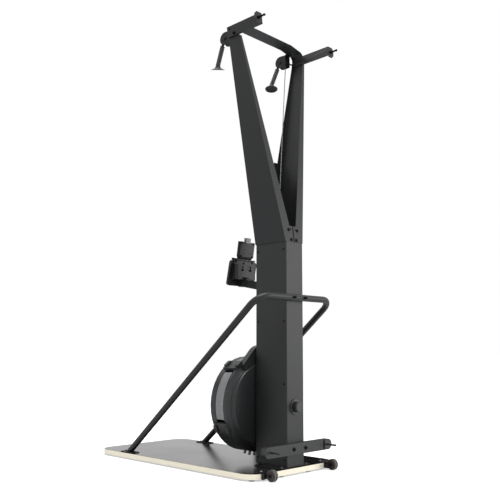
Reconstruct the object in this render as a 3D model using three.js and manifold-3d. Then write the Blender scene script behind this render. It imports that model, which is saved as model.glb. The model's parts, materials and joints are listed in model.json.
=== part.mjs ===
import * as THREE from "three";
import { mergeVertices } from "three/addons/utils/BufferGeometryUtils.js";
import Module from "manifold-3d";

const wasm = await Module();
wasm.setup();

// Ski trainer machine, millimetres, +Z up, the user stands on the -Y side.
// Places are measured from the column: x = 0 in its middle, y = 0 on its rear face and z = 0 on the
// board's top. The last lines move the whole machine so that its feet stand on z = 0.

// Fits
const seat = 0.3;
const runningGap = 0.4;
const overrun = 6;
const weldDistance = 0.0001;

// Facets round a turned piece
const drumSides = 40;
const roundSides = 20;
const smallSides = 12;
const cordSides = 8;
const cornerSteps = 5;
const bendSteps = 6;
const sharpBendSteps = 3;
const arcSteps = 9;

// Board and feet
const boardWidth = 600;
const boardFront = 1182;
const boardRear = 11.7;
const boardThickness = 26;
const boardCorner = 82;
const footRadius = 14;
const footHeight = 7;
const footMiddleX = 93;
const footSideIn = 35;
const footRearIn = 20;
const footSideRearIn = 42;
const footFrontIn = 56;
const footChamfer = 2;

// Column
const columnWidth = 120;
const columnDepth = 199;
const columnHeight = 1063;
const panelSheet = 2.5;
const panelReturn = 30;
const baseWidth = 224;
const baseDepth = 165;
const baseSheet = 4;
const baseCorner = 12;

// Arms of the mast
const armSheet = 3;
const armRise = 1032;
const armWebExtra = 45;
const armSplay = 0.1797;
const armRearLean = 0.1285;
const armFrontLean = 0.00958;
const armEdgeSplay = 0.2235;
const armRearStand = 0.8;
const armFrontStand = 3.4;
const armSideGap = 0.25;
const armEdgeStart = 5.2;
const armTabGap = 6;
const armTabHeight = 82;
const gussetRise = 457;
const gussetSheet = 2.5;
const gussetNotchWidth = 50;
const gussetNotchDepth = 62;
const gussetEdgeIn = 6;
const gussetLand = 20;

// Bracket between column and arms
const mastBracketWidth = 100;
const mastBracketDown = 100;
const mastBracketUp = 70;
const mastBracketSheet = 3;
const mastBracketBend = 8;
const cordHoleRadius = 11;
const cordHoleX = 20;
const cordHoleY = 128;

// Cross member at the top
const crossbarLift = 74;
const crossbarFlat = 150;
const crossbarDrop = 0.1944;
const crossbarThickness = 5;
const crossbarBend = 30;
const crossbarEndDown = 3;
const crossbarFront = 218;
const crossbarRear = 141;

// Top brackets and band pegs
const bracketThickness = 12;
const bracketSheet = 3;
const bracketFront = 205;
const bracketRear = 25;
const bracketHeight = 52;
const bracketBase = 2;
const earSheet = 4;
const earWidth = 52;
const earHeight = 56;
const earChamfer = 14;
const earReachIn = 2;
const pegRadius = 5;
const pegLength = 38;
const pegCollarRadius = 9;
const pegCollarLength = 4;
const pegTipRadius = 6.5;
const pegTipLength = 5;
const pegHoleGap = 0.3;

// Pulley blocks
const pulleyX = 212;
const pulleyAxleY = 264;
const pulleyLift = 29;
const cordRadius = 2.2;
const cordPathRadius = 28;
const cordWrapSteps = 10;
const pulleyFlangeRadius = 31;
const pulleyWidth = 27;
const pulleyGrooveWidth = 16;
const pulleyAxleRadius = 5;
const pulleyHeadRadius = 9;
const pulleyHeadLength = 4;
const blockWidth = 36;
const blockSheet = 2.5;
const blockRadius = 33;
const blockWebY = 224;
const blockLugDepth = 20;
const blockTieRadius = 4;
const blockTieDrop = 15;

// Handles and their cords
const handleDrop = 17;
const handleLength = 134;
const handleSocketRadius = 7;
const handleSocketLength = 10;
const handleGripRadius = 12;
const handleFlareRadius = 15;
const handleSkirtRadius = 22;
const handleBaseRadius = 35;
const handleFlare = 22;
const handleFlareMid = 13;
const handleSkirtRise = 7;
const handleRim = 3;
const handleHollow = 5;
const leadGap = 1.2;
const handleRightLean = 0;
const handleRightTilt = 20;
const handleLeftLean = 12;
const handleLeftTilt = 16;
const handleRightFootTilt = 16;
const handleRightFootTurn = 79;
const handleLeftFootTilt = 24;
const handleLeftFootTurn = 3;

// Fan, flywheel and drive
const fanAxisHeight = 278;
const fanRadius = 231;
const fanSheet = 2.5;
const fanFront = 346;
const fanFrontEdge = 308;
const fanRearEdge = 251;
const fanRearFace = 210;
const fanShoulderIn = 23;
const fanShoulderY = 229;
const fanDiscIn = 34;
const fanDiscY = 213;
const fanDish = 7;
const fanDishIn = 26;
const fanRimRound = 8;
const fanRimFacet = 2.4;
const fanHubRadius = 44;
const intakeInner = 66;
const intakeIn = 63;
const intakeWidth = 6;
const intakeCount = 24;
const ventPitch = 5;
const ventWidth = 11;
const ventLength = 50;
const ventSideFrom = -18;
const ventSideTo = 46;
const ventTopFrom = 62;
const earAngles = [54.6, -27.6];
const fanEarWidth = 36;
const fanEarHeight = 15;
const fanEarLength = 20;
const bridgeWidth = 58;
const bridgeHeight = 8;
const hoodAngle = 55;
const hoodOver = 57;
const hoodThickness = 32;
const ribAngles = [-68, -76, -84];
const ribReach = 18;
const ribWidth = 5;
const ribLength = 12;
const fanBossWidth = 96;
const fanBossHeight = 130;
const shaftRadius = 10;
const shaftFront = 334;
const shaftRear = 9.5;
const shaftHoleGap = 2;
const wheelDiscFront = 264;
const wheelDiscSheet = 4;
const wheelRimGap = 19;
const wheelRimWidth = 42;
const wheelRimLength = 18;
const wheelHubRadius = 26;
const wheelHubFront = 282;
const wheelHubRear = 236;
const bladeCount = 24;
const bladeLength = 84;
const bladeFront = 327;
const bladeSheet = 2.5;
const bladeIn = 5;
const bladeAngle = 24;
const bearingRadius = 26;
const bearingLength = 14;
const bearingFlange = 72;
const bearingFlangeSheet = 5;
const drumRadius = 22;
const drumFlangeRadius = 33;
const drumFlangeSheet = 2;
const drumLength = 38;
const drumLeftFront = 172;
const drumRightFront = 128;
const springCaseFront = 84;
const springCaseLength = 40;
const springCaseRadius = 44;

// Resistance knob
const knobHeight = 276;
const dialRadius = 38;
const dialThickness = 4;
const dialEdge = 2.4;
const pointerTop = 4.8;
const knobRadius = 25;
const knobReach = 28;
const knobFlutes = 12;
const knobFluteRadius = 4;
const knobFluteOut = 2.4;
const knobSpindleRadius = 5;
const knobSpindleIn = 5.5;
const pointerWidth = 3;
const pointerLength = 9;

// Bottom bar
const barHeight = 88;
const barWidth = 476;
const barTall = 50;
const barReach = 28;
const barSheet = 3;
const studX = 200;
const studRadius = 4.5;
const studLength = 55;
const studTipRadius = 6;
const studTipLength = 5;

// Brace tube and its feet
const braceRadius = 19;
const braceIn = 32;
const braceHeight = 791;
const braceBend = 72;
const braceSlope = 0.827;
const braceFootY = 938;
const braceSides = 16;
const braceBendSteps = 6;
const braceFootFront = 985;
const braceFootRear = 877;
const braceFootWidth = 50;
const braceFootSheet = 4;
const braceFootCorner = 10;

// Transport wheels
const wheelIn = 98;
const wheelWidth = 28;
const wheelRadius = 26;
const wheelY = 50;
const wheelDrop = 6;
const wheelTread = 4;
const wheelAxleRadius = 5;
const wheelHeadRadius = 8;
const wheelHeadLength = 4.5;
const wheelBracketSheet = 2.6;
const wheelBracketFront = 40;
const wheelCheekIn = 4;
const wheelCheekOut = 16;
const wheelOuterCheek = 16;
const wheelWebDown = 24;

// Monitor and its arm
const monitorArmWidth = 40;
const monitorArmSheet = 3;
const monitorArmBelow = 43;
const monitorArmTall = 38;
const pivotY = 320;
const pivotHeight = 880;
const pivotRadius = 4;
const pivotNose = 19;
const noseFrom = 79;
const noseTo = 259;
const pivotHeadRadius = 8;
const pivotHeadLength = 4;
const tongueRadius = 14;
const bezelHalf = 95;
const bezelThickness = 13;
const bezelBack = 11;
const bezelCorner = 14;
const bezelTopZ = 120;
const bezelTopY = 36;
const bezelBottomZ = -8;
const bezelBottomY = 63;
const backHalf = 73;
const backY = 24;
const backBottomZ = 21;
const bandHalf = 77;
const bandY = 20;
const bandBottomZ = 101;
const bulgeHalf = 64;
const bulgeWide = 71;
const bulgeStep = 6;
const bulgeY = 6;
const bulgeTopZ = 99;
const bulgeBottomZ = 21;
const tongueRise = 36;
const screenMargin = 16;
const screenBelow = 34;
const screenDepth = 2.4;
const screenSheet = 1.8;
const holderBaseHalf = 68;
const holderBaseTall = 6;
const holderHalf = 51;
const holderFootHalf = 43;
const holderFootIn = 9;
const holderFootTall = 14;
const holderTall = 97;
const holderDepth = 22;
const holderLean = 9;
const holderLedge = 16;
const holderLip = 8;
const holderRearY = 10;
const clipWidth = 33;
const clipSheet = 6;
const clipAbove = 23;
const clipLap = 5;
const clipLapSheet = 3;
const clipInside = 52;
const clipHookReach = 20;
const clipHookTall = 5;

// Materials
const paint = (color, roughness = 0.55, metalness = 0.2) =>
  new THREE.MeshStandardMaterial({ color, roughness, metalness });
const blackSteel = paint(0x3a3b3c);
const darkSteel = paint(0x2b2c2e);
const laminate = paint(0x4a4b4d, 0.2, 0);
const rubber = paint(0xb9b9b6, 0.8, 0);
const tyreGrey = paint(0x5d5550, 0.8, 0);
const plastic = paint(0x2f3032, 0.5, 0);
const steel = paint(0xb4b6b8, 0.3, 0.9);
const meshSteel = paint(0x787878, 0.5, 0.4);
const greyCord = paint(0xc9c9c9, 0.8, 0);
const lightPlastic = paint(0x9a9a9a, 0.5, 0);
const screenGlass = paint(0x14181a, 0.1, 0);

// Solids from geometry

const X = new THREE.Vector3(1, 0, 0);
const Y = new THREE.Vector3(0, 1, 0);
const Z = new THREE.Vector3(0, 0, 1);
const radians = THREE.MathUtils.degToRad;

// A closed geometry as a solid, turned right side out where its outline ran the other way.
function solid(geometry) {
  const bare = geometry.clone();
  bare.deleteAttribute("normal");
  bare.deleteAttribute("uv");
  const merged = mergeVertices(bare, weldDistance);
  const vertProperties = new Float32Array(merged.attributes.position.array);
  const triVerts = new Uint32Array(merged.index.array);
  const made = new wasm.Manifold(new wasm.Mesh({ numProp: 3, vertProperties, triVerts }));
  if (made.volume() >= 0) return made;
  for (let i = 0; i < triVerts.length; i += 3) {
    [triVerts[i + 1], triVerts[i + 2]] = [triVerts[i + 2], triVerts[i + 1]];
  }
  return new wasm.Manifold(new wasm.Mesh({ numProp: 3, vertProperties, triVerts }));
}

// A solid back as a geometry.
function geometryOf(made) {
  const { vertProperties, triVerts, numProp } = made.getMesh();
  const geometry = new THREE.BufferGeometry();
  const count = vertProperties.length / numProp;
  const places = new Float32Array(count * 3);
  for (let i = 0; i < count; i += 1) {
    places.set(vertProperties.subarray(i * numProp, i * numProp + 3), i * 3);
  }
  geometry.setAttribute("position", new THREE.BufferAttribute(places, 3));
  geometry.setIndex(new THREE.BufferAttribute(new Uint32Array(triVerts), 1));
  geometry.computeVertexNormals();
  return geometry;
}

const joined = (...solids) => solids.reduce((all, next) => all.add(next));
const cut = (body, ...tools) => tools.reduce((left, tool) => left.subtract(tool), body);

// A block between two corners.
function block(x0, x1, y0, y1, z0, z1) {
  const geometry = new THREE.BoxGeometry(Math.abs(x1 - x0), Math.abs(y1 - y0), Math.abs(z1 - z0));
  return solid(geometry.translate((x0 + x1) / 2, (y0 + y1) / 2, (z0 + z1) / 2));
}

// An outline drawn across two axes and pushed along the third one.
function pushed(shape, from, to, u, v, w, curveSegments = bendSteps) {
  const depth = Math.abs(to - from);
  const geometry = new THREE.ExtrudeGeometry(shape, { depth, bevelEnabled: false, curveSegments });
  const start = Math.min(from * w.dot(w), to * w.dot(w));
  geometry.translate(0, 0, start);
  return solid(geometry.applyMatrix4(new THREE.Matrix4().makeBasis(u, v, w)));
}
const alongX = (shape, x0, x1, segments) => pushed(shape, x0, x1, Y, Z, X, segments);
const alongZ = (shape, z0, z1, segments) => pushed(shape, z0, z1, X, Y, Z, segments);
const alongY = (shape, y0, y1, segments) =>
  pushed(shape, -y0, -y1, X, Z, Y.clone().negate(), segments);

// A profile of [radius, place] points turned about an axis through the origin.
function turned(profile, sides, axis) {
  const points = profile.map(([radius, place]) => new THREE.Vector2(radius, place));
  const geometry = new THREE.LatheGeometry(points, sides);
  const turn = new THREE.Quaternion().setFromUnitVectors(Y, axis);
  return solid(geometry.applyQuaternion(turn));
}

// A round bar from one place on an axis to another.
const bar = (radius, from, to, sides, axis) =>
  turned([[0, from], [radius, from], [radius, to], [0, to]], sides, axis);

// A solid moved to a place, or turned about an axis through the origin.
function moved(body, x, y, z) {
  return solid(geometryOf(body).translate(x, y, z));
}
function spun(body, axis, angle) {
  return solid(geometryOf(body).applyQuaternion(new THREE.Quaternion().setFromAxisAngle(axis, angle)));
}
function mirrored(body) {
  return solid(geometryOf(body).scale(-1, 1, 1));
}

// A body between rings of points that all have the same count.
function loft(rings) {
  const size = rings[0].length;
  const places = rings.flat(2);
  const faces = [];
  for (let i = 1; i < size - 1; i += 1) {
    faces.push(0, i + 1, i);
    const last = (rings.length - 1) * size;
    faces.push(last, last + i, last + i + 1);
  }
  for (let ring = 0; ring < rings.length - 1; ring += 1) {
    for (let i = 0; i < size; i += 1) {
      const a = ring * size + i;
      const b = ring * size + ((i + 1) % size);
      faces.push(a, b, a + size, b, b + size, a + size);
    }
  }
  const geometry = new THREE.BufferGeometry();
  geometry.setAttribute("position", new THREE.Float32BufferAttribute(places, 3));
  geometry.setIndex(faces);
  return solid(geometry);
}

function outline(points) {
  return new THREE.Shape(points.map(([u, v]) => new THREE.Vector2(u, v)));
}

// A rectangle with round corners about a middle point.
function roundRect(u, v, width, height, radius) {
  const round = Math.min(radius, width / 2, height / 2);
  const shape = new THREE.Shape();
  const right = u + width / 2 - round;
  const left = u - width / 2 + round;
  const top = v + height / 2 - round;
  const bottom = v - height / 2 + round;
  shape.absarc(right, bottom, round, -Math.PI / 2, 0);
  shape.absarc(right, top, round, 0, Math.PI / 2);
  shape.absarc(left, top, round, Math.PI / 2, Math.PI);
  shape.absarc(left, bottom, round, Math.PI, 1.5 * Math.PI);
  return shape;
}

// The section of a folded sheet: a line of corners, rounded by a bend, with the sheet's thickness.
function bentStrip(corners, bend, thickness, steps = bendSteps) {
  const points = corners.map(([u, v]) => new THREE.Vector2(u, v));
  const middle = [];
  const side = (direction) => new THREE.Vector2(-direction.y, direction.x);
  points.forEach((point, i) => {
    if (i === 0 || i === points.length - 1) {
      const from = i === 0 ? point : points[i - 1];
      const to = i === 0 ? points[1] : point;
      middle.push([point, side(to.clone().sub(from).normalize())]);
      return;
    }
    const before = point.clone().sub(points[i - 1]).normalize();
    const after = points[i + 1].clone().sub(point).normalize();
    const turn = Math.atan2(before.cross(after), before.dot(after));
    const reach = bend * Math.tan(Math.abs(turn) / 2);
    const start = point.clone().addScaledVector(before, -reach);
    const centre = start.clone().addScaledVector(side(before), bend * Math.sign(turn));
    for (let step = 0; step <= steps; step += 1) {
      const normal = side(before).rotateAround(new THREE.Vector2(), (turn * step) / steps);
      middle.push([centre.clone().addScaledVector(normal, -bend * Math.sign(turn)), normal]);
    }
  });
  const offset = (distance) => middle.map(([p, n]) => p.clone().addScaledVector(n, distance));
  return new THREE.Shape([...offset(thickness / 2), ...offset(-thickness / 2).reverse()]);
}

// A path that an extrusion follows ring by ring, with one ring at each of its points.
class StationPath extends THREE.Curve {
  constructor(points) {
    super();
    this.points = points;
  }
  index(u) {
    return Math.round(u * (this.points.length - 1));
  }
  getPoint(u) {
    return this.points[this.index(u)].clone();
  }
  getPointAt(u) {
    return this.getPoint(u);
  }
  getTangentAt(u) {
    const i = this.index(u);
    const before = this.points[Math.max(i - 1, 0)];
    const after = this.points[Math.min(i + 1, this.points.length - 1)];
    const here = this.points[i];
    const arriving = here.clone().sub(before).normalize();
    const leaving = after.clone().sub(here).normalize();
    return arriving.add(leaving).normalize();
  }
}

function tube(points, radius, sides) {
  const circle = new THREE.Shape(
    Array.from({ length: sides }, (_, i) => {
      const angle = (i * 2 * Math.PI) / sides;
      return new THREE.Vector2(radius * Math.cos(angle), radius * Math.sin(angle));
    }),
  );
  const extrudePath = new StationPath(points);
  return solid(new THREE.ExtrudeGeometry(circle, { steps: points.length - 1, extrudePath }));
}

// The scene

const machine = new THREE.Group();

function add(name, body, material, parent = machine) {
  const mesh = new THREE.Mesh(geometryOf(body), material);
  mesh.name = name;
  parent.add(mesh);
  return mesh;
}

// A piece made once for the right side and mirrored for the left.
function addPair(name, body, material) {
  add(name + "_right", body, material);
  add(name + "_left", mirrored(body), material);
}

// Lines that the arms follow, by height above the board.
const columnHalf = columnWidth / 2;
const above = (z) => z - columnHeight;
const webOuter = (z) => columnHalf + armSideGap + armSheet + armSplay * above(z);
const edgeX = (z) => armEdgeStart + armEdgeSplay * above(z);
const rearY = (z) => armRearStand - armRearLean * above(z);
const frontY = (z) => -(columnDepth + armFrontStand) - armFrontLean * above(z);
const armTop = columnHeight + armRise;

// Board and feet

const boardDepth = boardFront + boardRear;
const boardMiddle = (boardRear - boardFront) / 2;
add(
  "platform_board",
  alongZ(roundRect(0, boardMiddle, boardWidth, boardDepth, boardCorner), -boardThickness, 0),
  laminate,
);

const footTop = -boardThickness - seat;
const floor = -boardThickness - footHeight;
const footSideX = boardWidth / 2 - footSideIn;
const footProfile = [
  [0, floor],
  [footRadius - footChamfer, floor],
  [footRadius, floor + footChamfer],
  [footRadius, footTop],
  [0, footTop],
];
const foot = turned(footProfile, smallSides, Z);
addPair("foot_pad_rear", moved(foot, footMiddleX, boardRear - footRearIn, 0), rubber);
addPair("foot_pad_corner", moved(foot, footSideX, boardRear - footSideRearIn, 0), rubber);
addPair("foot_pad_front", moved(foot, footSideX, footFrontIn - boardFront, 0), rubber);

// Column

const baseTop = seat + baseSheet;
add(
  "column_base_plate",
  alongZ(roundRect(0, -baseDepth / 2, baseWidth, baseDepth, baseCorner), seat, baseTop, cornerSteps),
  darkSteel,
);

const columnFoot = baseTop + seat;
const spineHalf = columnHalf - panelSheet - seat;
// A channel that opens forwards from a wall at y = 0.
const channel = outline([
  [-spineHalf, 0],
  [-spineHalf, -panelReturn],
  [-spineHalf + panelSheet, -panelReturn],
  [-spineHalf + panelSheet, -panelSheet],
  [spineHalf - panelSheet, -panelSheet],
  [spineHalf - panelSheet, -panelReturn],
  [spineHalf, -panelReturn],
  [spineHalf, 0],
]);
const channelBody = alongZ(channel, columnFoot, columnHeight);
const spindleHole = moved(
  bar(knobSpindleRadius + runningGap, -overrun, overrun, smallSides, Y), 0, 0, knobHeight,
);
add("column_spine", cut(channelBody, spindleHole), blackSteel);

const shaftHole = moved(
  bar(shaftRadius + shaftHoleGap, -fanRearFace - overrun, -columnDepth + panelReturn, roundSides, Y),
  0, 0, fanAxisHeight,
);
const frontPanel = moved(spun(channelBody, Z, Math.PI), 0, -columnDepth, 0);
add("column_front_panel", cut(frontPanel, shaftHole), blackSteel);
addPair(
  "column_side_panel",
  block(columnHalf - panelSheet, columnHalf, -columnDepth, 0, columnFoot, columnHeight),
  blackSteel,
);

// Bracket that joins the arms to the column and lets the cords through

const tongueY = -panelSheet - seat - mastBracketSheet / 2;
const tongueFrontY = -columnDepth + panelSheet + seat + mastBracketSheet / 2;
const capZ = columnHeight - mastBracketSheet / 2;
const rearTongue = bentStrip(
  [
    [tongueY, columnHeight - mastBracketDown],
    [tongueY, columnHeight],
    [tongueY - armRearLean * mastBracketUp, columnHeight + mastBracketUp],
  ],
  mastBracketBend,
  mastBracketSheet,
  sharpBendSteps,
);
const frontTongue = bentStrip(
  [
    [tongueFrontY, columnHeight - mastBracketDown],
    [tongueFrontY, capZ],
    [tongueY, capZ],
  ],
  mastBracketBend,
  mastBracketSheet,
  sharpBendSteps,
);
const mastHalf = mastBracketWidth / 2;
const cordHole = bar(cordHoleRadius, capZ - overrun, capZ + overrun, roundSides, Z);
add(
  "mast_bracket",
  cut(
    joined(alongX(rearTongue, -mastHalf, mastHalf), alongX(frontTongue, -mastHalf, mastHalf)),
    moved(cordHole, cordHoleX, -cordHoleY, 0),
    moved(cordHole, -cordHoleX, -cordHoleY, 0),
  ),
  darkSteel,
);

// Arms: sheet folded to a channel that opens inwards, leaning out and forwards

function armSection(z, inset, innerX) {
  const inner = innerX(z);
  const outer = webOuter(z) - inset;
  return [
    [inner, frontY(z) + inset, z],
    [outer, frontY(z) + inset, z],
    [outer, rearY(z) - inset, z],
    [inner, rearY(z) - inset, z],
  ];
}
function armBody() {
  const inward = (z) => edgeX(z) - overrun;
  const outside = loft([armSection(columnHeight, 0, edgeX), armSection(armTop, 0, edgeX)]);
  const hollow = loft([
    armSection(columnHeight - overrun, armSheet, inward),
    armSection(armTop + overrun, armSheet, inward),
  ]);
  const tabStrip = (z) => [
    [armTabGap / 2, rearY(z) - armSheet, z],
    [webOuter(z), rearY(z) - armSheet, z],
    [webOuter(z), rearY(z), z],
    [armTabGap / 2, rearY(z), z],
  ];
  const tab = loft([tabStrip(columnHeight), tabStrip(columnHeight + armTabHeight)]);
  const webStrip = (z) => [
    [webOuter(z) - armSheet, -bracketFront, z],
    [webOuter(z), -bracketFront, z],
    [webOuter(z), -crossbarRear, z],
    [webOuter(z) - armSheet, -crossbarRear, z],
  ];
  const web = loft([webStrip(armTop - overrun), webStrip(armTop + armWebExtra)]);
  return joined(cut(outside, hollow), tab, web);
}
addPair("arm", armBody(), blackSteel);

const gussetTopZ = columnHeight + gussetRise;
const gussetFoot = webOuter(columnHeight) - gussetEdgeIn;
const gussetHead = webOuter(gussetTopZ) - gussetEdgeIn;
const gussetInner = edgeX(gussetTopZ) - gussetLand;
const gussetOutline = outline([
  [-gussetFoot, 0],
  [gussetFoot, 0],
  [gussetHead, gussetRise],
  [gussetInner, gussetRise],
  [gussetNotchWidth / 2, gussetRise - gussetNotchDepth],
  [-gussetNotchWidth / 2, gussetRise - gussetNotchDepth],
  [-gussetInner, gussetRise],
  [-gussetHead, gussetRise],
]);
const gussetPlate = alongY(gussetOutline, -gussetSheet, 0);
add(
  "arm_gusset",
  moved(spun(gussetPlate, X, Math.atan(armFrontLean)), 0, frontY(columnHeight) - seat, columnHeight),
  darkSteel,
);

// Cross member: a flat strip with sloped shoulders whose ends turn down inside the arms

const crossbarZ = armTop + crossbarLift;
const endInset = armSheet + seat + crossbarThickness / 2;
const endLineX = (z) => webOuter(z) - endInset;
const shoulderRun = endLineX(crossbarZ) - crossbarFlat;
const cornerX = crossbarFlat + shoulderRun / (1 + armSplay * crossbarDrop);
const cornerZ = crossbarZ - crossbarDrop * (cornerX - crossbarFlat);
const endZ = armTop - crossbarEndDown;
const crossbarLine = [
  [-endLineX(endZ), endZ],
  [-cornerX, cornerZ],
  [-crossbarFlat, crossbarZ],
  [crossbarFlat, crossbarZ],
  [cornerX, cornerZ],
  [endLineX(endZ), endZ],
];
const crossbarStrip = bentStrip(crossbarLine, crossbarBend, crossbarThickness);
// Where the shoulder ends and the bend starts.
const crossbarTurn = Math.PI / 2 - Math.atan(crossbarDrop) + Math.atan(armSplay);
const crossbarBendX = cornerX - crossbarBend * Math.tan(crossbarTurn / 2) * Math.cos(Math.atan(crossbarDrop));
const crossbarWide = alongY(crossbarStrip, -crossbarFront, -crossbarRear);
const frontTrimY = frontY(armTop) + armSheet + seat;
const trim = block(
  -boardWidth / 2, boardWidth / 2,
  -crossbarFront - overrun, frontTrimY,
  endZ - overrun, armTop + seat,
);
add("crossbar", cut(crossbarWide, trim), blackSteel);

// Top brackets: flat tubes on the arms' webs, open in front, with an ear that carries a band peg

const bracketLow = armTop + bracketBase;
const bracketHigh = bracketLow + bracketHeight;
const bracketInner = (z) => webOuter(z) + seat;
function bracketSection(z, y0, y1, inset) {
  const inner = bracketInner(z) + inset;
  const outer = bracketInner(z) + bracketThickness - inset;
  return [[inner, y0, z], [outer, y0, z], [outer, y1, z], [inner, y1, z]];
}
const bracketOutside = loft([
  bracketSection(bracketLow, -bracketFront, bracketRear, 0),
  bracketSection(bracketHigh, -bracketFront, bracketRear, 0),
]);
const bracketHollow = loft([
  bracketSection(bracketLow + bracketSheet, -bracketFront - overrun, bracketRear - earSheet, bracketSheet),
  bracketSection(bracketHigh - bracketSheet, -bracketFront - overrun, bracketRear - earSheet, bracketSheet),
]);
const earZ = (bracketLow + bracketHigh) / 2 - earReachIn;
const earX = bracketInner(earZ) + earWidth / 2;
const earHalfW = earWidth / 2;
const earHalfH = earHeight / 2;
const earOutline = outline([
  [earX - earHalfW, earZ - earHalfH + earChamfer],
  [earX - earHalfW + earChamfer, earZ - earHalfH],
  [earX + earHalfW - earChamfer, earZ - earHalfH],
  [earX + earHalfW, earZ - earHalfH + earChamfer],
  [earX + earHalfW, earZ + earHalfH - earChamfer],
  [earX + earHalfW - earChamfer, earZ + earHalfH],
  [earX - earHalfW + earChamfer, earZ + earHalfH],
  [earX - earHalfW, earZ + earHalfH - earChamfer],
]);
const earBody = alongY(earOutline, bracketRear - earSheet, bracketRear);
const pegHole = moved(
  bar(pegRadius + pegHoleGap, bracketRear - earSheet - overrun, bracketRear + overrun, smallSides, Y),
  earX, 0, earZ,
);
addPair("top_bracket", cut(joined(cut(bracketOutside, bracketHollow), earBody), pegHole), blackSteel);

// A peg: nut behind the ear, collar in front of it, shank and a round tip.
const pegStart = bracketRear - earSheet - seat - pegCollarLength;
const pegFace = bracketRear + seat;
const pegEnd = pegFace + pegLength + pegCollarLength;
const pegProfile = [
  [0, pegStart],
  [pegCollarRadius, pegStart],
  [pegCollarRadius, pegStart + pegCollarLength],
  [pegRadius, pegStart + pegCollarLength],
  [pegRadius, pegFace],
  [pegCollarRadius, pegFace],
  [pegCollarRadius, pegFace + pegCollarLength],
  [pegRadius, pegFace + pegCollarLength],
  [pegRadius, pegEnd - pegTipLength],
  [pegTipRadius, pegEnd - pegTipLength],
  [pegTipRadius, pegEnd - pegTipLength / 2],
  [pegRadius, pegEnd],
  [0, pegEnd],
];
addPair("band_peg", moved(turned(pegProfile, roundSides, Y), earX, 0, earZ), darkSteel);

// Pulley blocks: two D-shaped cheeks, a web between them and a lug under the cross member

const pulleyZ = armTop + pulleyLift;
const cheekOuter = blockWidth / 2;
const cheekShape = new THREE.Shape();
cheekShape.moveTo(-blockWebY, pulleyZ - blockRadius);
cheekShape.lineTo(-blockWebY, pulleyZ + blockRadius - blockSheet);
cheekShape.lineTo(-pulleyAxleY, pulleyZ + blockRadius);
cheekShape.absarc(-pulleyAxleY, pulleyZ, blockRadius, Math.PI / 2, 1.5 * Math.PI);
cheekShape.closePath();
const cheekPair = joined(
  alongX(cheekShape, pulleyX + cheekOuter - blockSheet, pulleyX + cheekOuter, arcSteps),
  alongX(cheekShape, pulleyX - cheekOuter, pulleyX - cheekOuter + blockSheet, arcSteps),
);
const shoulderUnder = (x) =>
  crossbarZ - crossbarDrop * (x - crossbarFlat) - crossbarThickness / 2 / Math.cos(Math.atan(crossbarDrop));
const blockWeb = block(
  pulleyX - cheekOuter, pulleyX + cheekOuter,
  -blockWebY, -blockWebY + blockSheet,
  pulleyZ - blockRadius, shoulderUnder(pulleyX - cheekOuter) - seat,
);
const lugSection = (x) => [
  [x, -blockWebY, shoulderUnder(x) - seat - blockSheet],
  [x, -crossbarFront + blockLugDepth, shoulderUnder(x) - seat - blockSheet],
  [x, -crossbarFront + blockLugDepth, shoulderUnder(x) - seat],
  [x, -blockWebY, shoulderUnder(x) - seat],
];
const blockLug = loft([lugSection(pulleyX - cheekOuter), lugSection(crossbarBendX - seat)]);
const tieZ = pulleyZ - blockTieDrop;
const tieEndX = endLineX(tieZ - blockTieRadius) - crossbarThickness / 2 - seat;
const blockTie = moved(
  bar(blockTieRadius, pulleyX - cheekOuter + blockSheet, tieEndX, smallSides, X),
  0, -blockWebY + blockSheet + blockTieRadius - seat, tieZ,
);
const axleHole = moved(
  bar(pulleyAxleRadius + seat, pulleyX - blockWidth, pulleyX + blockWidth, smallSides, X),
  0, -pulleyAxleY, pulleyZ,
);
addPair("pulley_block", cut(joined(cheekPair, blockWeb, blockLug, blockTie), axleHole), darkSteel);

const headStart = cheekOuter + seat;
const axleProfile = [
  [0, -headStart - pulleyHeadLength],
  [pulleyHeadRadius, -headStart - pulleyHeadLength],
  [pulleyHeadRadius, -headStart],
  [pulleyAxleRadius, -headStart],
  [pulleyAxleRadius, headStart],
  [pulleyHeadRadius, headStart],
  [pulleyHeadRadius, headStart + pulleyHeadLength],
  [0, headStart + pulleyHeadLength],
];
addPair("pulley_axle", moved(turned(axleProfile, smallSides, X), pulleyX, -pulleyAxleY, pulleyZ), darkSteel);

const grooveRadius = cordPathRadius - cordRadius - seat;
const pulleyBore = pulleyAxleRadius + runningGap;
const pulleyHalf = pulleyWidth / 2;
const grooveHalf = pulleyGrooveWidth / 2;
const pulleyProfile = [
  [pulleyBore, -pulleyHalf],
  [pulleyFlangeRadius, -pulleyHalf],
  [pulleyFlangeRadius, -grooveHalf],
  [grooveRadius, -cordRadius],
  [grooveRadius, cordRadius],
  [pulleyFlangeRadius, grooveHalf],
  [pulleyFlangeRadius, pulleyHalf],
  [pulleyBore, pulleyHalf],
  [pulleyBore, -pulleyHalf],
];
addPair("top_pulley", moved(turned(pulleyProfile, roundSides, X), pulleyX, -pulleyAxleY, pulleyZ), plastic);

// Handles: a grip with a flared foot, hung from a short length of cord

const handleY = -pulleyAxleY - cordPathRadius;
const handleZ = pulleyZ - handleDrop;
const gripEnd = -handleLength + handleFlare;
const gripProfile = [
  [0, 0],
  [handleSocketRadius, 0],
  [handleSocketRadius, -handleSocketLength],
  [handleGripRadius, -handleSocketLength - handleRim],
  [handleGripRadius, gripEnd],
  [0, gripEnd],
];
// The foot is measured down from the grip's end, about which it is tilted.
const footFlareProfile = [
  [0, handleFlareMid],
  [handleGripRadius, handleRim],
  [handleFlareRadius, handleFlareMid - handleFlare],
  [handleSkirtRadius, handleSkirtRise - handleFlare],
  [handleBaseRadius, handleRim - handleFlare],
  [handleBaseRadius, -handleFlare],
  [handleBaseRadius - handleRim, -handleFlare],
  [handleGripRadius, handleHollow - handleFlare],
  [0, handleHollow - handleFlare],
];
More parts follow.
